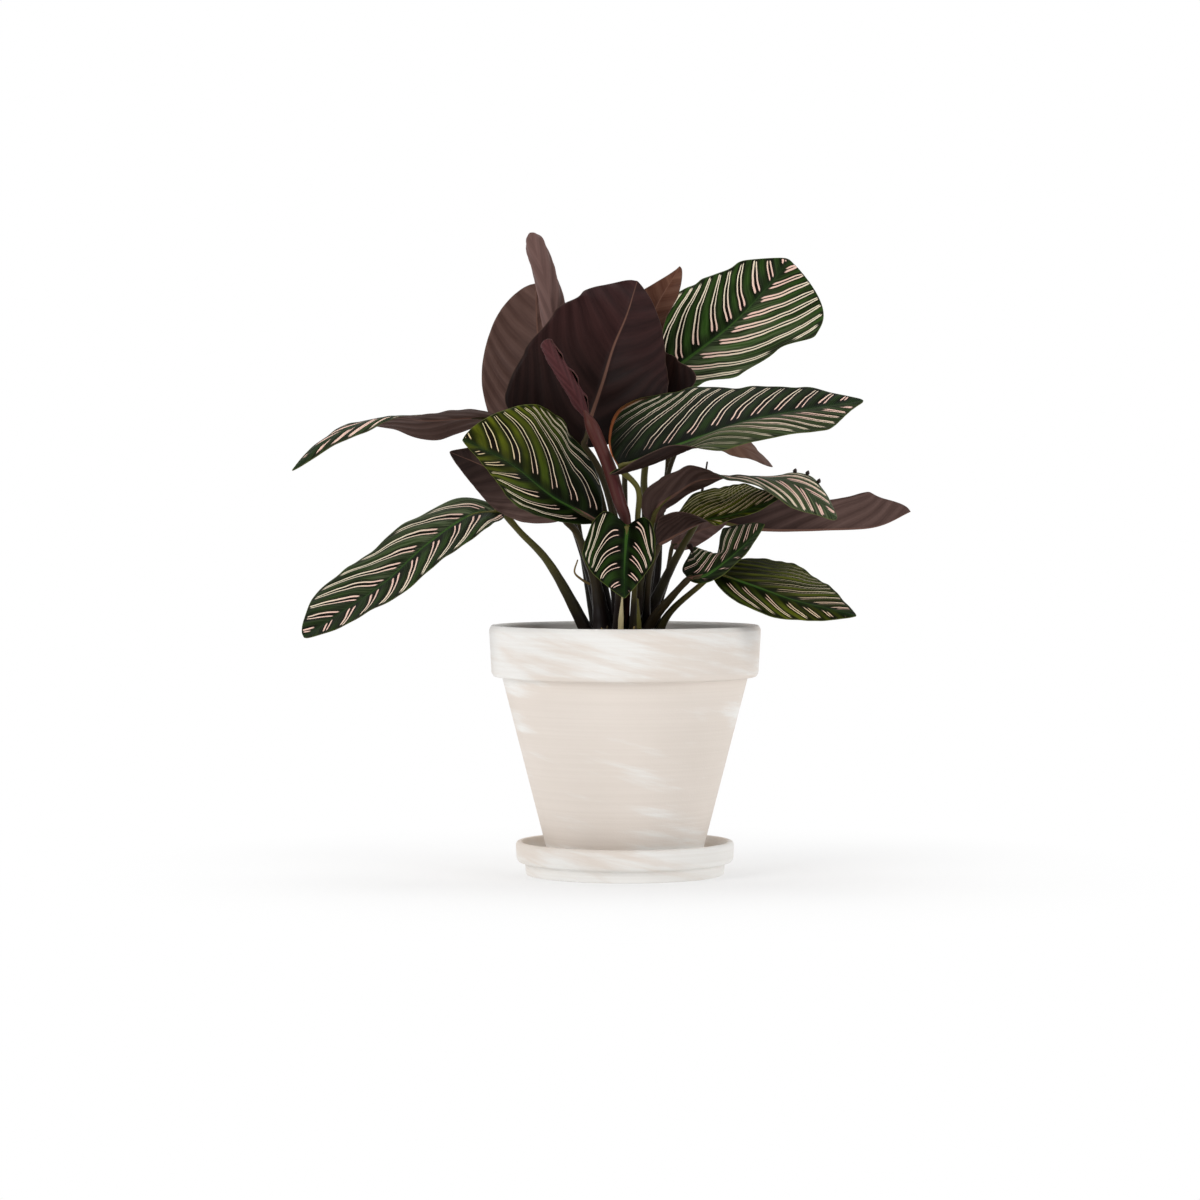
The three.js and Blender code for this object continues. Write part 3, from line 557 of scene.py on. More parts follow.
# %% Lines beside the veins
def vein_lines(add, fact, place):
    """Where the lines and the dark bands inside each pair are, and what the tissue reads."""
    reach, margin, along = fact["reach"], fact["margin"], fact["along"]
    sway = add("TexNoise", Vector=place, Scale=70.0, Detail=1.0)
    sway = add("Math", sway, 0.5, operation="SUBTRACT")
    vein = add("Math", sway, 0.22, fact["vein"], **times_plus)
    number = add("Math", vein, operation="ROUND")
    shift = add("TexWhiteNoise", W=number, noise_dimensions="1D")
    shift = add("Math", shift, 0.14, -0.07, **times_plus)
    signed = add("Math", vein, number, operation="SUBTRACT")
    signed = add("Math", signed, shift, operation="ADD")
    offset = add("Math", signed, operation="ABSOLUTE")
    across = add("Math", offset, fact["spacing"], **times)
    which = add("Math", signed, operation="SIGN")
    which = add("Math", which, 0.25, number, **times_plus)
    chance = add("TexWhiteNoise", W=which, noise_dimensions="1D")

    # How far a line reaches: from a few millimetres off the midrib to a few from the margin
    begin = add("Math", chance, 3.0, fact["start"], **times_plus)
    nearer = add("MapRange", along, 0.3, 1.0, 1.0, 0.3)
    begin = add("Math", begin, nearer, **times)
    end = add("Math", chance, -1.6, 2.2, **times_plus)
    kept = add("Math", 1.0, fact["bare"], operation="SUBTRACT")
    window = kept
    for distance, limit, softness in ((reach, begin, 1.6), (margin, end, 1.8)):
        past = add("Math", distance, limit, operation="SUBTRACT")
        past = add("MapRange", past, 0.0, softness, **smooth)
        window = add("Math", window, past, **times)

    # A line is a narrow band at a set distance on each side of its vein
    gap = add("Math", fact["spacing"], 0.135, **times)
    outer = add("MapRange", margin, 1.0, 16.0, 0.6, 1.0)
    gap = add("Math", gap, outer, **times)
    beside = add("Math", across, gap, operation="SUBTRACT")
    beside = add("Math", beside, operation="ABSOLUTE")
    thick = add("MapRange", reach, 3.0, 24.0, 1.0, 0.5)
    uneven = add("MapRange", chance, 0.0, 1.0, 0.75, 1.15)
    for factor in (uneven, window, fact["fine"]):
        thick = add("Math", thick, factor, **times)
    soft = add("Math", thick, 0.14, operation="ADD")
    line = add("MapRange", beside, soft, thick, 0.0, 1.0, **smooth)
    line = add("Math", line, window, **times)

    # Almost black green inside each pair
    half_gap = add("Math", gap, 0.35, **times)
    inside = add("MapRange", across, gap, half_gap, 0.0, 0.9, **smooth)
    inside = add("Math", inside, window, **times)
    return vein, offset, kept, line, inside


# %% [markdown]
# Striped upper side
#
# The upper side is green tissue under a thin waxy skin, with a soft low sheen. Its colours
# go on as thin coats, each over the ones before it: tissue, young or yellow parts, a painted
# sheen, a painted shade, the dark inside of each pair, the midrib, the lines and the edge.


# %% Striped upper side
def striped_upper():
    made, add = new_finish("waxy_striped_leaf")
    names = "vein reach margin along spacing yellow light start fine bare burnt fresh dim"
    fact = {name: add("Attribute", out=2, attribute_name=name) for name in names.split()}
    reach, margin, along = fact["reach"], fact["margin"], fact["along"]
    place = add("NewGeometry")
    vein, offset, kept, line, inside = vein_lines(add, fact, place)

    # Green tissue, with fine streaks that run with the veins
    grain = streaks(add, vein, 11.0, reach, 0.05, 3.0)
    patch = add("TexNoise", Vector=place, Scale=30.0, Detail=2.0)
    between = add("MapRange", offset, 0.17, 0.45, **smooth)
    depth = add("Math", grain, 0.9, -0.5, **times_plus)
    depth = add("Math", between, depth, operation="ADD", use_clamp=True)
    broad = streaks(add, vein, 0.9, reach, 0.05, 2.0)
    broad = add("MapRange", broad, 0.35, 0.65, 0.25, 1.15)
    thin = add("MapRange", reach, 0.0, 9.0, 0.35, 1.0)
    for factor in (broad, thin):
        depth = add("Math", depth, factor, **times)
    ripe = add("Mix", {0: depth, 6: colour("#1c2006"), 7: colour("#666b12")}, **blend)
    ripened = add("Math", patch, 0.9, 0.45, **times_plus)
    ripened = add("Math", ripened, fact["yellow"], use_clamp=True, **times)
    vivid = add("Math", depth, fact["fresh"], **times)
    # Painted sheen: pale grey-green streaks, laid where the light fact asks, stand in for glancing
    # highlights on the upper side
    painted_sheen = add("MapRange", grain, 0.4, 0.68, 0.12, 0.85, **smooth)
    painted_sheen = add("Math", painted_sheen, fact["light"], **times)

    # The midrib: a pale line in a soft lighter band
    band = add("MapRange", reach, 3.2, 0.6, 0.0, 0.35, **smooth)
    band = add("Math", band, kept, **times)
    rib = midrib(add, along, reach, 0.9, 1.25, 0.8)
    fading = add("MapRange", along, 0.1, 0.8, 1.0, 0.3)
    rib = add("Math", rib, fading, **times)

    # The lines' own colour, pink near the midrib and cream near the margin
    hue = add("MapRange", reach, 5.0, 20.0)
    pink = add("Mix", {0: hue, 6: colour("#ecc6b6"), 7: colour("#eaddc2")}, **blend)
    creamy = add("Math", fact["yellow"], 0.6, **times)
    pink = add("Mix", {0: creamy, 6: pink, 7: colour("#d0c884")}, **blend)

    # The thin edge, and the dry brown rim of an old leaf
    edge = add("MapRange", margin, 0.7, 0.1, 0.0, 0.5)
    dry = add("MapRange", margin, 5.0, 2.5, **smooth)
    dry = add("Math", dry, fact["burnt"], **times)

    # Each colour goes over the ones before it, by its own share; dim lays on a painted shade of
    # near-black
    layers = [
        (depth, colour("#21350d")), (vivid, colour("#3a6220")), (ripened, ripe),
        (painted_sheen, colour("#717c5c")), (fact["dim"], colour("#070903")),
        (inside, colour("#100806")), (band, colour("#20381a")), (rib, colour("#3f6226")),
        (line, pink), (edge, colour("#77803f")), (dry, colour("#9a5a38")),
    ]
    green = colour("#070902")
    for share, paint in layers:
        green = add("Mix", {0: share, 6: green, 7: paint}, **blend)

    fine_vein = add("Math", vein, 50.0, **times)
    fine_vein = add("Math", fine_vein, operation="SINE")
    relief = add("Math", fine_vein, 0.25, grain, **times_plus)
    rough = add("MapRange", grain, 0.2, 0.8, 0.34, 0.5)
    close_finish(add, green, rough, relief, 0.14, IOR=1.42, Specular_IOR_Level=0.06)
    return made


# %% [markdown]
# Purple underside
#
# The underside of a calathea is stained by anthocyanin, from near-black wine red on old
# leaves to mauve on young ones. The stain lies under a matt skin, so it shows soft bands
# along the veins and a dull sheen, and the midrib stands out as a thin paler line.


# %% Purple underside
def purple_underside():
    made, add = new_finish("wine_purple_underside")
    names = "vein reach margin along pale red rust bare"
    fact = {name: add("Attribute", out=2, attribute_name=name) for name in names.split()}
    place = add("NewGeometry")
    grain = streaks(add, fact["vein"], 6.0, fact["reach"], 0.04, 4.0)
    cloud = add("TexNoise", Vector=place, Scale=22.0, Detail=2.0)
    offset = add("Math", fact["vein"], 0.5, -0.5, operation="WRAP")
    offset = add("Math", offset, operation="ABSOLUTE")
    band = add("MapRange", offset, 0.05, 0.4, 0.2, 0.0, **smooth)
    streak = add("MapRange", grain, 0.35, 0.75, -0.04, 0.2)
    tone = add("Math", streak, band, operation="ADD")
    tone = add("Math", cloud, 0.3, tone, **times_plus)
    tone = add("Math", tone, 0.55, use_clamp=True, **times)
    base = add("Mix", {0: tone, 6: colour("#0c0504"), 7: colour("#34201b")}, **blend)

    # Young leaves are paler, and lose the bands; pale also carries a painted sheen on one lit half
    lifted = add("Math", fact["pale"], fact["pale"], **times)
    tone = add("Math", lifted, 0.13, tone, use_clamp=True, **times_plus)
    red = add("Math", fact["red"], 0.6, **times)
    tints = [(fact["pale"], "#38251f", "#9c8078"), (red, "#2a0f12", "#733e42"),
             (fact["rust"], "#4a2618", "#a88068")]
    for share, dark, light in tints:
        tint = add("Mix", {0: tone, 6: colour(dark), 7: colour(light)}, **blend)
        base = add("Mix", {0: share, 6: base, 7: tint}, **blend)
    rib = midrib(add, fact["along"], fact["reach"], 1.0, 1.0, 0.6)
    hidden = add("Math", 1.0, fact["bare"], operation="SUBTRACT")
    rib = add("Math", rib, hidden, **times)
    edge = add("MapRange", fact["margin"], 0.8, 0.1, 0.0, 0.5)
    for share, paint in ((rib, "#7d5a4c"), (edge, "#5d4a40")):
        base = add("Mix", {0: share, 6: base, 7: colour(paint)}, **blend)
    rough = add("MapRange", grain, 0.2, 0.8, 0.42, 0.58)
    close_finish(add, base, rough, grain, 0.15, IOR=1.4, Specular_IOR_Level=0.12)
    return made


upper_finish = striped_upper()
under_finish = purple_underside()
print("leaf finishes:", upper_finish.name, under_finish.name)

# %% [markdown]
# Make the blades
#
# Each blade gets a lower side a third of a millimetre under the upper one, and a keel below
# the midrib that thins towards the tip, as the stalk runs on into the leaf.

# %% Make the blades
blade_thickness = 0.36
keel_height = 1.2


def leaf_blade(name, leaf, look, seed):
    grid, facts, u = blade_grid(leaf, look, seed)
    rows, columns = grid.shape[:2]
    normals = sheet_normals(grid)
    keel = keel_height * (1 - u)[:, None] ** 0.8 * np.exp(-((facts["reach"] / 1.3) ** 2))
    lower = grid - normals * (blade_thickness + keel)[..., None]
    points = np.concatenate([grid.reshape(-1, 3), lower.reshape(-1, 3)])
    count = rows * columns
    top = grid_faces(rows, columns)
    bottom = grid_faces(rows, columns, start=count, flip=True)
    left = np.arange(rows) * columns
    right = left + columns - 1
    front = np.arange(columns)
    tip = front + (rows - 1) * columns
    rim = []
    for line, outward in ((left, False), (right, True), (front, True), (tip, False)):
        for one, two in zip(line[:-1].tolist(), line[1:].tolist()):
            quad = [one, two, two + count, one + count]
            rim.append(quad[::-1] if outward else quad)
    listed = {key: np.concatenate([value.ravel(), value.ravel()])
              for key, value in facts.items()}
    faces = top + bottom + rim
    slots = [0] * len(top) + [1] * (len(bottom) + len(rim))
    made = new_object(f"{name}_blade", points, faces, [upper_finish, under_finish], slots, listed)
    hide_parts(f"leaf_{name}")
    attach(made, "root")
    return made


for order, (name, leaf) in enumerate(leaves.items()):
    made = leaf_blade(name, leaf, looks[name], seed=(order * 0.37) % 1)
print("blades:", len(leaves))

# %% [markdown]
# Stalks
#
# A calathea stalk is a round, slightly grooved petiole, purple-brown at the soil and greener
# above, with a smooth swollen joint just below the blade that turns the leaf to the light. A
# tube along the CAD stem's own points gives it its place; it runs on under the blade until it
# vanishes in the keel.


# %% Stalk finish
def stalk_finish(name, foot_hex, top_hex):
    made, add = new_finish(name)
    along = add("Attribute", out=2, attribute_name="along")
    around = add("Attribute", out=2, attribute_name="around")
    place = add("NewGeometry")
    grain = streaks(add, around, 14.0, along, 5.0, 3.0)
    cloud = add("TexNoise", Vector=place, Scale=60.0, Detail=2.0)
    tint = add("Math", cloud, 0.7, -0.35, **times_plus)
    greener = add("MapRange", along, 0.22, 0.85, **smooth)
    tint = add("Math", greener, tint, operation="ADD", use_clamp=True)
    shade = add("MapRange", grain, 0.3, 0.7, 0.0, 0.4)
    shade = add("Math", shade, greener, **times)
    base = colour(foot_hex)
    for share, paint in ((tint, top_hex), (shade, "#5e4a34")):
        base = add("Mix", {0: share, 6: base, 7: colour(paint)}, **blend)
    close_finish(add, base, 0.42, grain, 0.25, IOR=1.42, Specular_IOR_Level=0.2)
    return made


stalk_finishes = {
    "dark": stalk_finish("purple_brown_petiole", "#140c0b", "#35301c"),
    "olive": stalk_finish("olive_petiole", "#1e1711", "#5a5826"),
    "red": stalk_finish("red_sheathing_petiole", "#20100d", "#4a1a20"),
    "young": stalk_finish("dark_young_shoot", "#2a1f20", "#2c2024"),
    "cream": stalk_finish("papery_cream_sheath", "#8a7a4c", "#d2c49a"),
    "straw": stalk_finish("dried_straw_bract", "#6a5634", "#8d7748"),
}

# %% Tube helper
tube_sides = 18
tube_rings = 72


def tube(name, points, radii, finish, swell=None, groove=0.05):
    """A tapering tube with closed ends. swell is (place, spread, height) along it."""
    u = np.linspace(0, 1, tube_rings + 1)
    centre, tangent, _ = along_curve(points, u)
    radius = eased(radii, u)
    if swell:
        place, spread, height = swell
        radius = radius + height * np.exp(-(((u - place) / spread) ** 2))
    side = unit(np.cross(tangent, [0.31, 0.95, 0.05]))
    other = np.cross(tangent, side)
    angle = np.arange(tube_sides) * 2 * math.pi / tube_sides
    ring = 1 - groove * np.exp(-((np.minimum(angle, 2 * math.pi - angle) / 0.5) ** 2))
    ring = ring[None, :, None] * radius[:, None, None]
    body = centre[:, None] + ring * (side[:, None] * np.cos(angle)[None, :, None]
                                     + other[:, None] * np.sin(angle)[None, :, None])
    first = centre[:1] - tangent[:1] * radius[0] * 0.4
    last = centre[-1:] + tangent[-1:] * radius[-1]
    points = np.concatenate([body.reshape(-1, 3), first, last])
    faces = []
    for ring_index in range(tube_rings):
        for step in range(tube_sides):
            one = ring_index * tube_sides + step
            two = ring_index * tube_sides + (step + 1) % tube_sides
            faces.append([one, one + tube_sides, two + tube_sides, two])
    foot, tip = len(points) - 2, len(points) - 1
    last_ring = tube_rings * tube_sides
    for step in range(tube_sides):
        faces.append([foot, step, (step + 1) % tube_sides])
        faces.append([tip, last_ring + (step + 1) % tube_sides, last_ring + step])
    along = np.concatenate([np.repeat(u, tube_sides), [0, 1]])
    around = np.concatenate([np.tile(np.abs(angle / math.pi - 1), tube_rings + 1), [0, 0]])
    return new_object(name, points, faces, [finish], facts=dict(along=along, around=around))


# %% Stalk tubes
soil_top = 146
stem_depth = 12


def foot_points(part):
    x, y = part["foot"]
    return [(x, y, soil_top - stem_depth), (x, y, soil_top + 4), *part["stem"]]


def leaf_stalk(name, leaf, look):
    u = np.array([0.0, 0.05, 0.12, 0.2])
    centre, _, up, _ = rib_frame(leaf, u)
    end = centre - up * np.array([0.9, 1.0, 1.0, 0.7])[:, None]
    points = foot_points(leaf) + [tuple(point) for point in end]
    _, _, whole = along_curve(points, np.array([0.0, 1.0]))
    _, _, below = along_curve(points[:-3], np.array([0.0, 1.0]))
    reach = below / whole
    thick = leaf.get("thick", usual_thick)
    u = np.linspace(0, 1, 12)
    radii = np.where(u < reach, eased(thick, np.minimum(u / reach, 1)),
                     thick[-1] * 0.8 * (1 - (u - reach) / (1 - reach + 1e-6)) + 0.35)
    wrapped = (look.get("sheath", 1.3) - 1) * np.clip(1 - u / 0.5, 0, 1) ** 1.5
    radii = radii * (1 + wrapped)
    swell = (reach - 0.04, 0.035, thick[-1] * 0.16)
    finish = stalk_finishes[look.get("stalk", "dark")]
    made = tube(f"{name}_stalk", points, radii.tolist(), finish, swell)
    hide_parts(f"stem_{name}")
    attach(made, "root")
    return made


for name, leaf in leaves.items():
    leaf_stalk(name, leaf, looks[name])
print("stalks:", len(leaves))

# %% [markdown]
# Shoots and the dried bract
#
# New leaves of this plant rise as thin dark spears, and the stalks of old ones leave papery
# sheaths at the foot. They are tubes with a tapered end, in their own finishes.

# %% Shoots and the dried bract
shoots = {
    "spear": dict(
        foot=[17, 8],
        stem=[[22, 10, 175], [34, 10, 210], [44, 12, 228], [50, 14, 248], [53, 15, 262]],
        tip=[55, 15, 274], thick=[2, 1.8, 1.5, 1.2, 0.6], finish="young",
    ),
    "cream_sheath": dict(
        foot=[-3, -38], stem=[[-3, -39, 168]],
        tip=[-2, -42, 186], thick=[2.2, 2.2, 1.8, 0.6], finish="cream",
    ),
    "green_sheath": dict(
        foot=[10, -38], stem=[[9, -39, 166]],
        tip=[8, -43, 184], thick=[1.9, 1.9, 1.5, 0.6], finish="olive",
    ),
}
for name, shoot in shoots.items():
    points = foot_points(shoot) + [shoot["tip"]]
    made = tube(f"{name}_shoot", points, shoot["thick"], stalk_finishes[shoot["finish"]])
    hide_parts(f"shoot_{name}")
    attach(made, "root")

bract_points = [[-23.5, -11, 193], [-28.5, -13, 196], [-33.4, -14, 201], [-31.4, -14, 209]]
bract_radii = [0.9, 0.8, 0.6, 0.5]
made = tube("dried_bract_curl", bract_points, bract_radii, stalk_finishes["straw"])
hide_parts("dried_bract")
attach(made, "root")

# %% [markdown]
# Knobs and dried roots
#
# Three small dark knobs stand on the upper margin of the arching leaf, and a few dried ends of
# old roots and sheaths stick out of the soil at the front. Each grows from a point of the piece
# that carries it.

# %% Knobs and dried roots
margin_step = 2 * blade_columns + 1
for number, row in enumerate((74, 79, 85)):
    margin = bpy.data.objects["arching_blade"].data.vertices[row * margin_step].co / MM
    top = (margin[0] + 0.8, margin[1], margin[2] + 1.8)
    low = (margin[0], margin[1], margin[2] - 0.3)
    made = tube(f"arching_knob_{number}", [low, top], [1.0, 1.5, 1.1], stalk_finishes["young"])
    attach(made, "root")

root_count = 9
root_spacing = 3.4
root_chance = np.random.default_rng(5)
for number in range(root_count):
    across = -16 + root_spacing * number
    lean = root_chance.uniform(-7, 7)
    front = root_chance.uniform(-46, -34)
    height = root_chance.uniform(162, 170)
    points = [(across, front, soil_top - 2), (across + 0.3 * lean, front + 1, soil_top + 8),
              (across + lean, front - 1, height)]
    finish = stalk_finishes["straw" if number % 2 else "dark"]
    made = tube(f"dried_root_{number}", points, [1.3, 1.0, 0.5], finish)
    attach(made, "root")

# %% [markdown]
# Clay pot and saucer
#
# The pot is pressed and turned on a wheel, so it is round, with faint level lines, and a pale
# slip has been rubbed over it in slanting strokes. A profile turned about the upright axis is
# the natural way to make both pieces; small arcs soften each corner, as fingers and fettling
# do on raw clay.

# %% Pottery sizes
saucer_foot_radius = 66
saucer_rim_radius = 72.6
saucer_step_height = 8
saucer_height = 22
saucer_floor = 6.5
saucer_wall = 5
clearance = 0.3
pot_base = saucer_floor + clearance
pot_top = 165.7
pot_foot_radius = 50
pot_shoulder_radius = 81.6
pot_rim_radius = 90.3
pot_rim_height = 34
pot_wall = 6
pot_floor = 9
drain_radius = 11
print("pot:", pot_base, "to", pot_top, "mm high")


# %% Turned profiles
turned_sides = 144


def rounded(profile, radius=0.9, steps=4):
    """A profile with a small arc at each inner point."""
    result = [np.array(profile[0], float)]
    for before, corner, after in zip(profile, profile[1:], profile[2:]):
        before, corner, after = (np.array(p, float) for p in (before, corner, after))
        inward = before - corner
        outward = after - corner
        cut = min(radius, 0.4 * np.linalg.norm(inward), 0.4 * np.linalg.norm(outward))
        start = corner + inward / np.linalg.norm(inward) * cut
        end = corner + outward / np.linalg.norm(outward) * cut
        for step in range(steps + 1):
            t = step / steps
            result.append((1 - t) ** 2 * start + 2 * t * (1 - t) * corner + t * t * end)
    result.append(np.array(profile[-1], float))
    return np.array(result)


def split_long(profile, longest=6.0):
    """More points on long straight stretches."""
    result = [profile[0]]
    for one, two in zip(profile, profile[1:]):
        count = max(1, math.ceil(np.linalg.norm(two - one) / longest))
        result += [one + (two - one) * (k + 1) / count for k in range(count)]
    return np.array(result)


def turned(name, profile, finish, closed):
    """A profile turned about the upright axis. closed joins its last point to its first."""
    angle = np.arange(turned_sides) * 2 * math.pi / turned_sides
    circle = np.stack([np.cos(angle), np.sin(angle)], axis=1)
    points = []
    for radius, height in profile:
        ring = np.column_stack([circle * radius, np.full(turned_sides, height)])
        points.append(ring if radius > 1e-6 else ring[:1])
    starts = np.concatenate([[0], np.cumsum([len(ring) for ring in points])])
    order = list(range(len(points))) + ([0] if closed else [])
    faces = []
    for one, two in zip(order, order[1:]):
        for step in range(turned_sides):
            after = (step + 1) % turned_sides
            a, b = starts[one] + step, starts[one] + after
            c, d = starts[two] + after, starts[two] + step
            if len(points[one]) == 1:
                faces.append([int(starts[one]), int(c), int(d)])
            elif len(points[two]) == 1:
                faces.append([int(a), int(b), int(starts[two])])
            else:
                faces.append([int(a), int(b), int(c), int(d)])
    return new_object(name, np.concatenate(points), faces, [finish])


# %% Whitewashed clay
def whitewashed_clay():
    made, add = new_finish("whitewashed_raw_clay")
    place = add("NewGeometry")
    x, y, height = (add("SeparateXYZ", place, out=axis) for axis in range(3))

    # Brush strokes about 14 mm wide that rise to one side, level turning lines 1.4 mm apart,
    # and grit of 1 mm, which is coarser than the real grit so that it shows
    tilted = add("Math", x, 0.22, height, **times_plus)
    tilted = add("CombineXYZ", x, y, tilted)
    slanted = add("Mapping", Vector=tilted, Scale=(8, 8, 70))
    strokes = add("TexNoise", Vector=slanted, Scale=1.0, Detail=6.0, Roughness=0.62)
    where = add("TexNoise", Vector=place, Scale=11.0, Detail=2.0)
    level = add("Mapping", Vector=place, Scale=(6, 6, 700))
    turning = add("TexNoise", Vector=level, Scale=1.0, Detail=4.0)
    cloud = add("TexNoise", Vector=place, Scale=18.0, Detail=5.0)
    grit = add("TexNoise", Vector=place, Scale=900.0, Detail=2.0)

    # More wash stays on the rim band and on the saucer
    rim_band = add("MapRange", height, 0.126, 0.136)
    saucer_band = add("MapRange", height, 0.024, 0.020)
    washed = add("Math", rim_band, saucer_band, operation="ADD")
    washed = add("Math", washed, 0.17, **times)
    wash = add("Math", where, 0.5, strokes, **times_plus)
    wash = add("Math", wash, washed, operation="ADD")
    wash = add("MapRange", wash, 0.77, 1.0, 0.0, 0.9, **smooth)
    fine = add("MapRange", turning, 0.35, 0.7, 0.0, 0.14)
    base = colour("#dbd1c7")
    for share, paint in ((cloud, "#e5dcd4"), (wash, "#ecebe8"), (fine, "#c8bcb0")):
        base = add("Mix", {0: share, 6: base, 7: colour(paint)}, **blend)
    relief = add("Math", turning, 0.8, grit, **times_plus)
    relief = add("Math", wash, 0.5, relief, **times_plus)
    close_finish(add, base, 0.9, relief, 0.1, IOR=1.5, Specular_IOR_Level=0.3)
    return made


clay_finish = whitewashed_clay()

# %% Turn the pot and the saucer
ledge = pot_top - pot_rim_height
inside_floor = pot_base + pot_floor
pot_profile = [
    (drain_radius, pot_base + 1), (drain_radius + 1, pot_base), (pot_foot_radius - 1.5, pot_base),
    (pot_foot_radius, pot_base + 1.5), (pot_shoulder_radius, ledge - 0.8),
    (pot_rim_radius - 3, ledge), (pot_rim_radius - 1.6, ledge + 2.4),
    (pot_rim_radius, pot_top - 3), (pot_rim_radius - 1.5, pot_top),
    (pot_rim_radius - pot_wall + 1.5, pot_top), (pot_rim_radius - pot_wall, pot_top - 1.5),
    (pot_rim_radius - pot_wall - 3, ledge + 2), (pot_shoulder_radius - pot_wall, ledge - 5),
    (pot_foot_radius - pot_wall + 2, inside_floor), (drain_radius + 1, inside_floor),
    (drain_radius, inside_floor - 1),
]
pot_piece = turned("clay_pot", split_long(rounded(pot_profile)), clay_finish, closed=True)
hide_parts("pot")

lip = saucer_height - 1.6
saucer_profile = [
    (0, 0), (saucer_foot_radius, 0), (saucer_foot_radius + 0.4, saucer_step_height - 0.5),
    (saucer_rim_radius - 1.6, saucer_step_height + 0.6),
    (saucer_rim_radius - 0.4, saucer_step_height + 3), (saucer_rim_radius, lip),
    (saucer_rim_radius - 1.2, saucer_height), (saucer_rim_radius - saucer_wall + 1, saucer_height),
    (saucer_rim_radius - saucer_wall, lip),
    (saucer_rim_radius - saucer_wall - 4, saucer_floor + 3),
    (saucer_rim_radius - saucer_wall - 8, saucer_floor), (0, saucer_floor),
]
saucer_piece = turned("clay_saucer", split_long(rounded(saucer_profile)), clay_finish,
                      closed=False)
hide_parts("saucer")
for piece in (pot_piece, saucer_piece):
    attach(piece, "root")

# %% [markdown]
# Potting mix
#
# Potting mix is peat, bark and crumbs of every size. A turned disc with an uneven top gives
# the ground, and a few hundred small lumps sunk into it, placed by a seeded draw, give the
# crumbs. Real lumps and not particles keep them in the exported model.

# %% Potting mix
def moist_mix():
    made, add = new_finish("moist_potting_mix")
    place = add("NewGeometry")
    # Lumps of about 4 mm with crumbs of 2 to 3 mm on them
    coarse = add("TexNoise", Vector=place, Scale=260.0, Detail=5.0)
    crumbs = add("TexVoronoi", Vector=place, Scale=420.0)
    tone = add("MapRange", coarse, 0.3, 0.75)
    base = add("Mix", {0: tone, 6: colour("#1d1511"), 7: colour("#5a4433")}, **blend)
    relief = add("Math", coarse, crumbs, operation="SUBTRACT")
    close_finish(add, base, 0.95, relief, 0.8)
    return made


mix_finish = moist_mix()
chance = np.random.default_rng(11)
rim_inside = pot_rim_radius - pot_wall
top_share = (soil_top - ledge - 2) / (pot_top - 1.5 - ledge - 2)
soil_radius = rim_inside - 3 + 3 * top_share - clearance - 0.2
soil_profile = split_long(np.array([
    (0.0, inside_floor + 0.3), (pot_foot_radius - pot_wall + 1, inside_floor + 0.3),
    (pot_shoulder_radius - pot_wall - 0.8, ledge - 5), (rim_inside - 3.8, ledge + 2.4),
    (soil_radius, soil_top - 2), (pot_foot_radius, soil_top - 0.5), (0.0, soil_top + 1.4)]), 3.5)
soil_piece = turned("potting_mix", soil_profile, mix_finish, closed=False)
heights = np.zeros(len(soil_piece.data.vertices) * 3)
soil_piece.data.vertices.foreach_get("co", heights)
heights = heights.reshape(-1, 3)
on_top = heights[:, 2] > (soil_top - 3) * MM
inner = on_top & (np.hypot(heights[:, 0], heights[:, 1]) < (soil_radius - 1) * MM)
heights[inner, 2] += chance.uniform(-1.1, 0.5, inner.sum()) * MM
soil_piece.data.vertices.foreach_set("co", heights.ravel())
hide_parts("soil")
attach(soil_piece, "root")

# %% Crumbs
lump_corners = np.array([(1, 0, 0), (-1, 0, 0), (0, 1, 0), (0, -1, 0), (0, 0, 1), (0, 0, -1)],
                        float)
lump_faces = np.array([(0, 2, 4), (2, 1, 4), (1, 3, 4), (3, 0, 4), (2, 0, 5), (1, 2, 5),
                       (3, 1, 5), (0, 3, 5)])
crumb_count = 520
crumb_points, crumb_faces = [], []
for index in range(crumb_count):
    distance = (soil_radius - 4) * math.sqrt(chance.uniform())
    turn = chance.uniform(0, 2 * math.pi)
    size = chance.uniform(0.7, 2.2)
    shape = lump_corners * chance.uniform(0.6, 1.2, (6, 1)) * (size, size * 0.8, size * 0.6)
    spin = chance.uniform(0, 2 * math.pi)
    swirl = np.array([[math.cos(spin), -math.sin(spin), 0], [math.sin(spin), math.cos(spin), 0],
                      [0, 0, 1]])
    ground = soil_top + 0.9 - 2.4 * (distance / soil_radius) ** 2
    centre = (distance * math.cos(turn), distance * math.sin(turn), ground)
    crumb_faces += (lump_faces + len(crumb_points) * 6).tolist()
    crumb_points.append(shape @ swirl.T + centre)
crumb_piece = new_object("potting_crumbs", np.concatenate(crumb_points), crumb_faces,
                         [mix_finish])
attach(crumb_piece, "root")
print("crumbs:", len(crumb_points))

# %% [markdown]
# Floor and light
#
# The photograph has a white sweep with only a soft grey shadow at the saucer's foot. A wide
# floor takes that shadow near the pot and glows white further out, so that it runs into the
# background. The world is white behind the plant and dim in front of it, and three soft
# lights give the even light of the photograph without washing out the dark leaves.

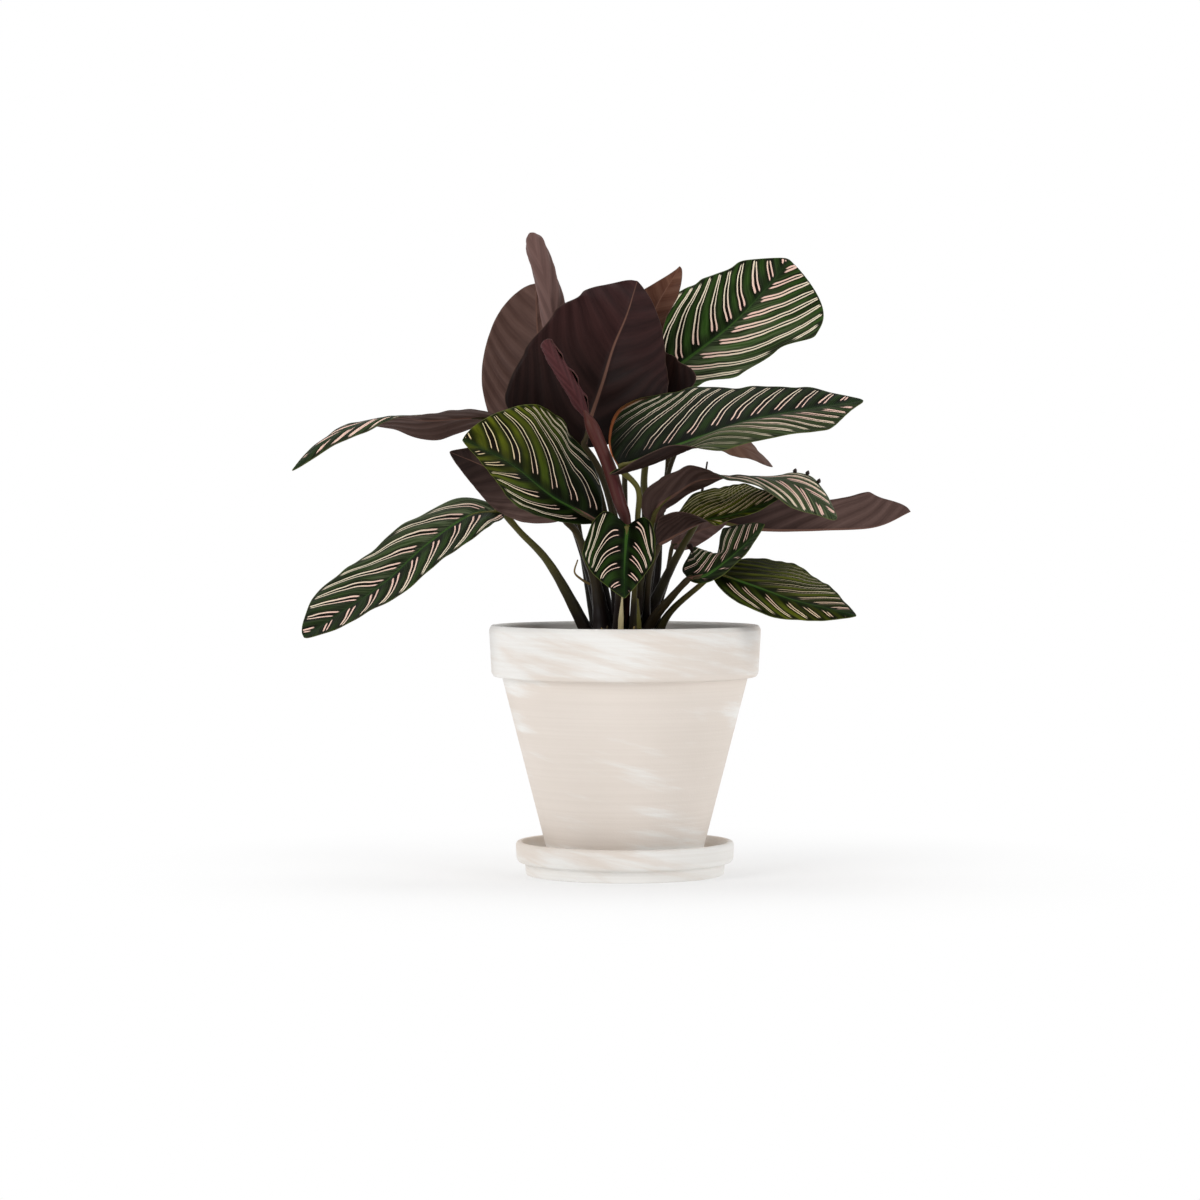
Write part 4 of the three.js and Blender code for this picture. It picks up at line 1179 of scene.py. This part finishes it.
# %% Floor and light
floor_mesh = bpy.data.meshes.new("pale_floor")
reach = 6.0
floor_mesh.from_pydata([(-reach, -reach, 0), (reach, -reach, 0), (reach, reach, 0),
                        (-reach, reach, 0)], [], [(0, 1, 2, 3)])
floor = bpy.data.objects.new("pale_floor", floor_mesh)
bpy.context.collection.objects.link(floor)
floor_finish, floor_add = new_finish("white_sweep")
floor_place = floor_add("NewGeometry")
floor_away = floor_add("VectorMath", floor_place, out=1, operation="LENGTH")
floor_share = floor_add("MapRange", floor_away, 0.1, 0.4, 0.45, **smooth)
floor_paper = floor_add("BsdfDiffuse", Color=colour("#f3f3f3"))
floor_glow = floor_add("Emission", Color=(1, 1, 1, 1), Strength=1.0)
floor_end = floor_add("MixShader", floor_share, floor_paper, floor_glow)
floor_add("OutputMaterial", Surface=floor_end)
floor_mesh.materials.append(floor_finish)

room_light = 0.22
world = bpy.data.worlds.new("white_studio")
world.use_nodes = True
world_tree = world.node_tree
world_add = functools.partial(node, world_tree)
toward = world_add("TexCoord")
deep = world_add("SeparateXYZ", toward, out=1)
behind = world_add("MapRange", deep, -0.15, 0.35, room_light, 1.0, **smooth)
world_tree.links.new(behind, world_tree.nodes["Background"].inputs["Strength"])
world_tree.nodes["Background"].inputs["Color"].default_value = (1, 1, 1, 1)
bpy.context.scene.world = world
bpy.context.scene.view_settings.view_transform = "Standard"


def soft_light(name, place, aim, size, power):
    data = bpy.data.lights.new(name, "AREA")
    data.size = size
    data.energy = power
    light = bpy.data.objects.new(name, data)
    light.location = place
    direction = np.array(aim) - np.array(place)
    yaw = math.atan2(direction[1], direction[0]) - math.pi / 2
    level = math.hypot(direction[0], direction[1])
    light.rotation_euler = (math.pi / 2 + math.atan2(direction[2], level), 0, yaw)
    bpy.context.collection.objects.link(light)
    return light


centre_of_plant = (0, 0, 0.25)
soft_light("left_softbox", (-1.7, -1.6, 1.1), centre_of_plant, 1.3, 30)
soft_light("right_softbox", (1.9, -1.4, 0.9), centre_of_plant, 1.3, 22)
soft_light("overhead_softbox", (-0.1, 0.1, 2.0), centre_of_plant, 1.2, 10)
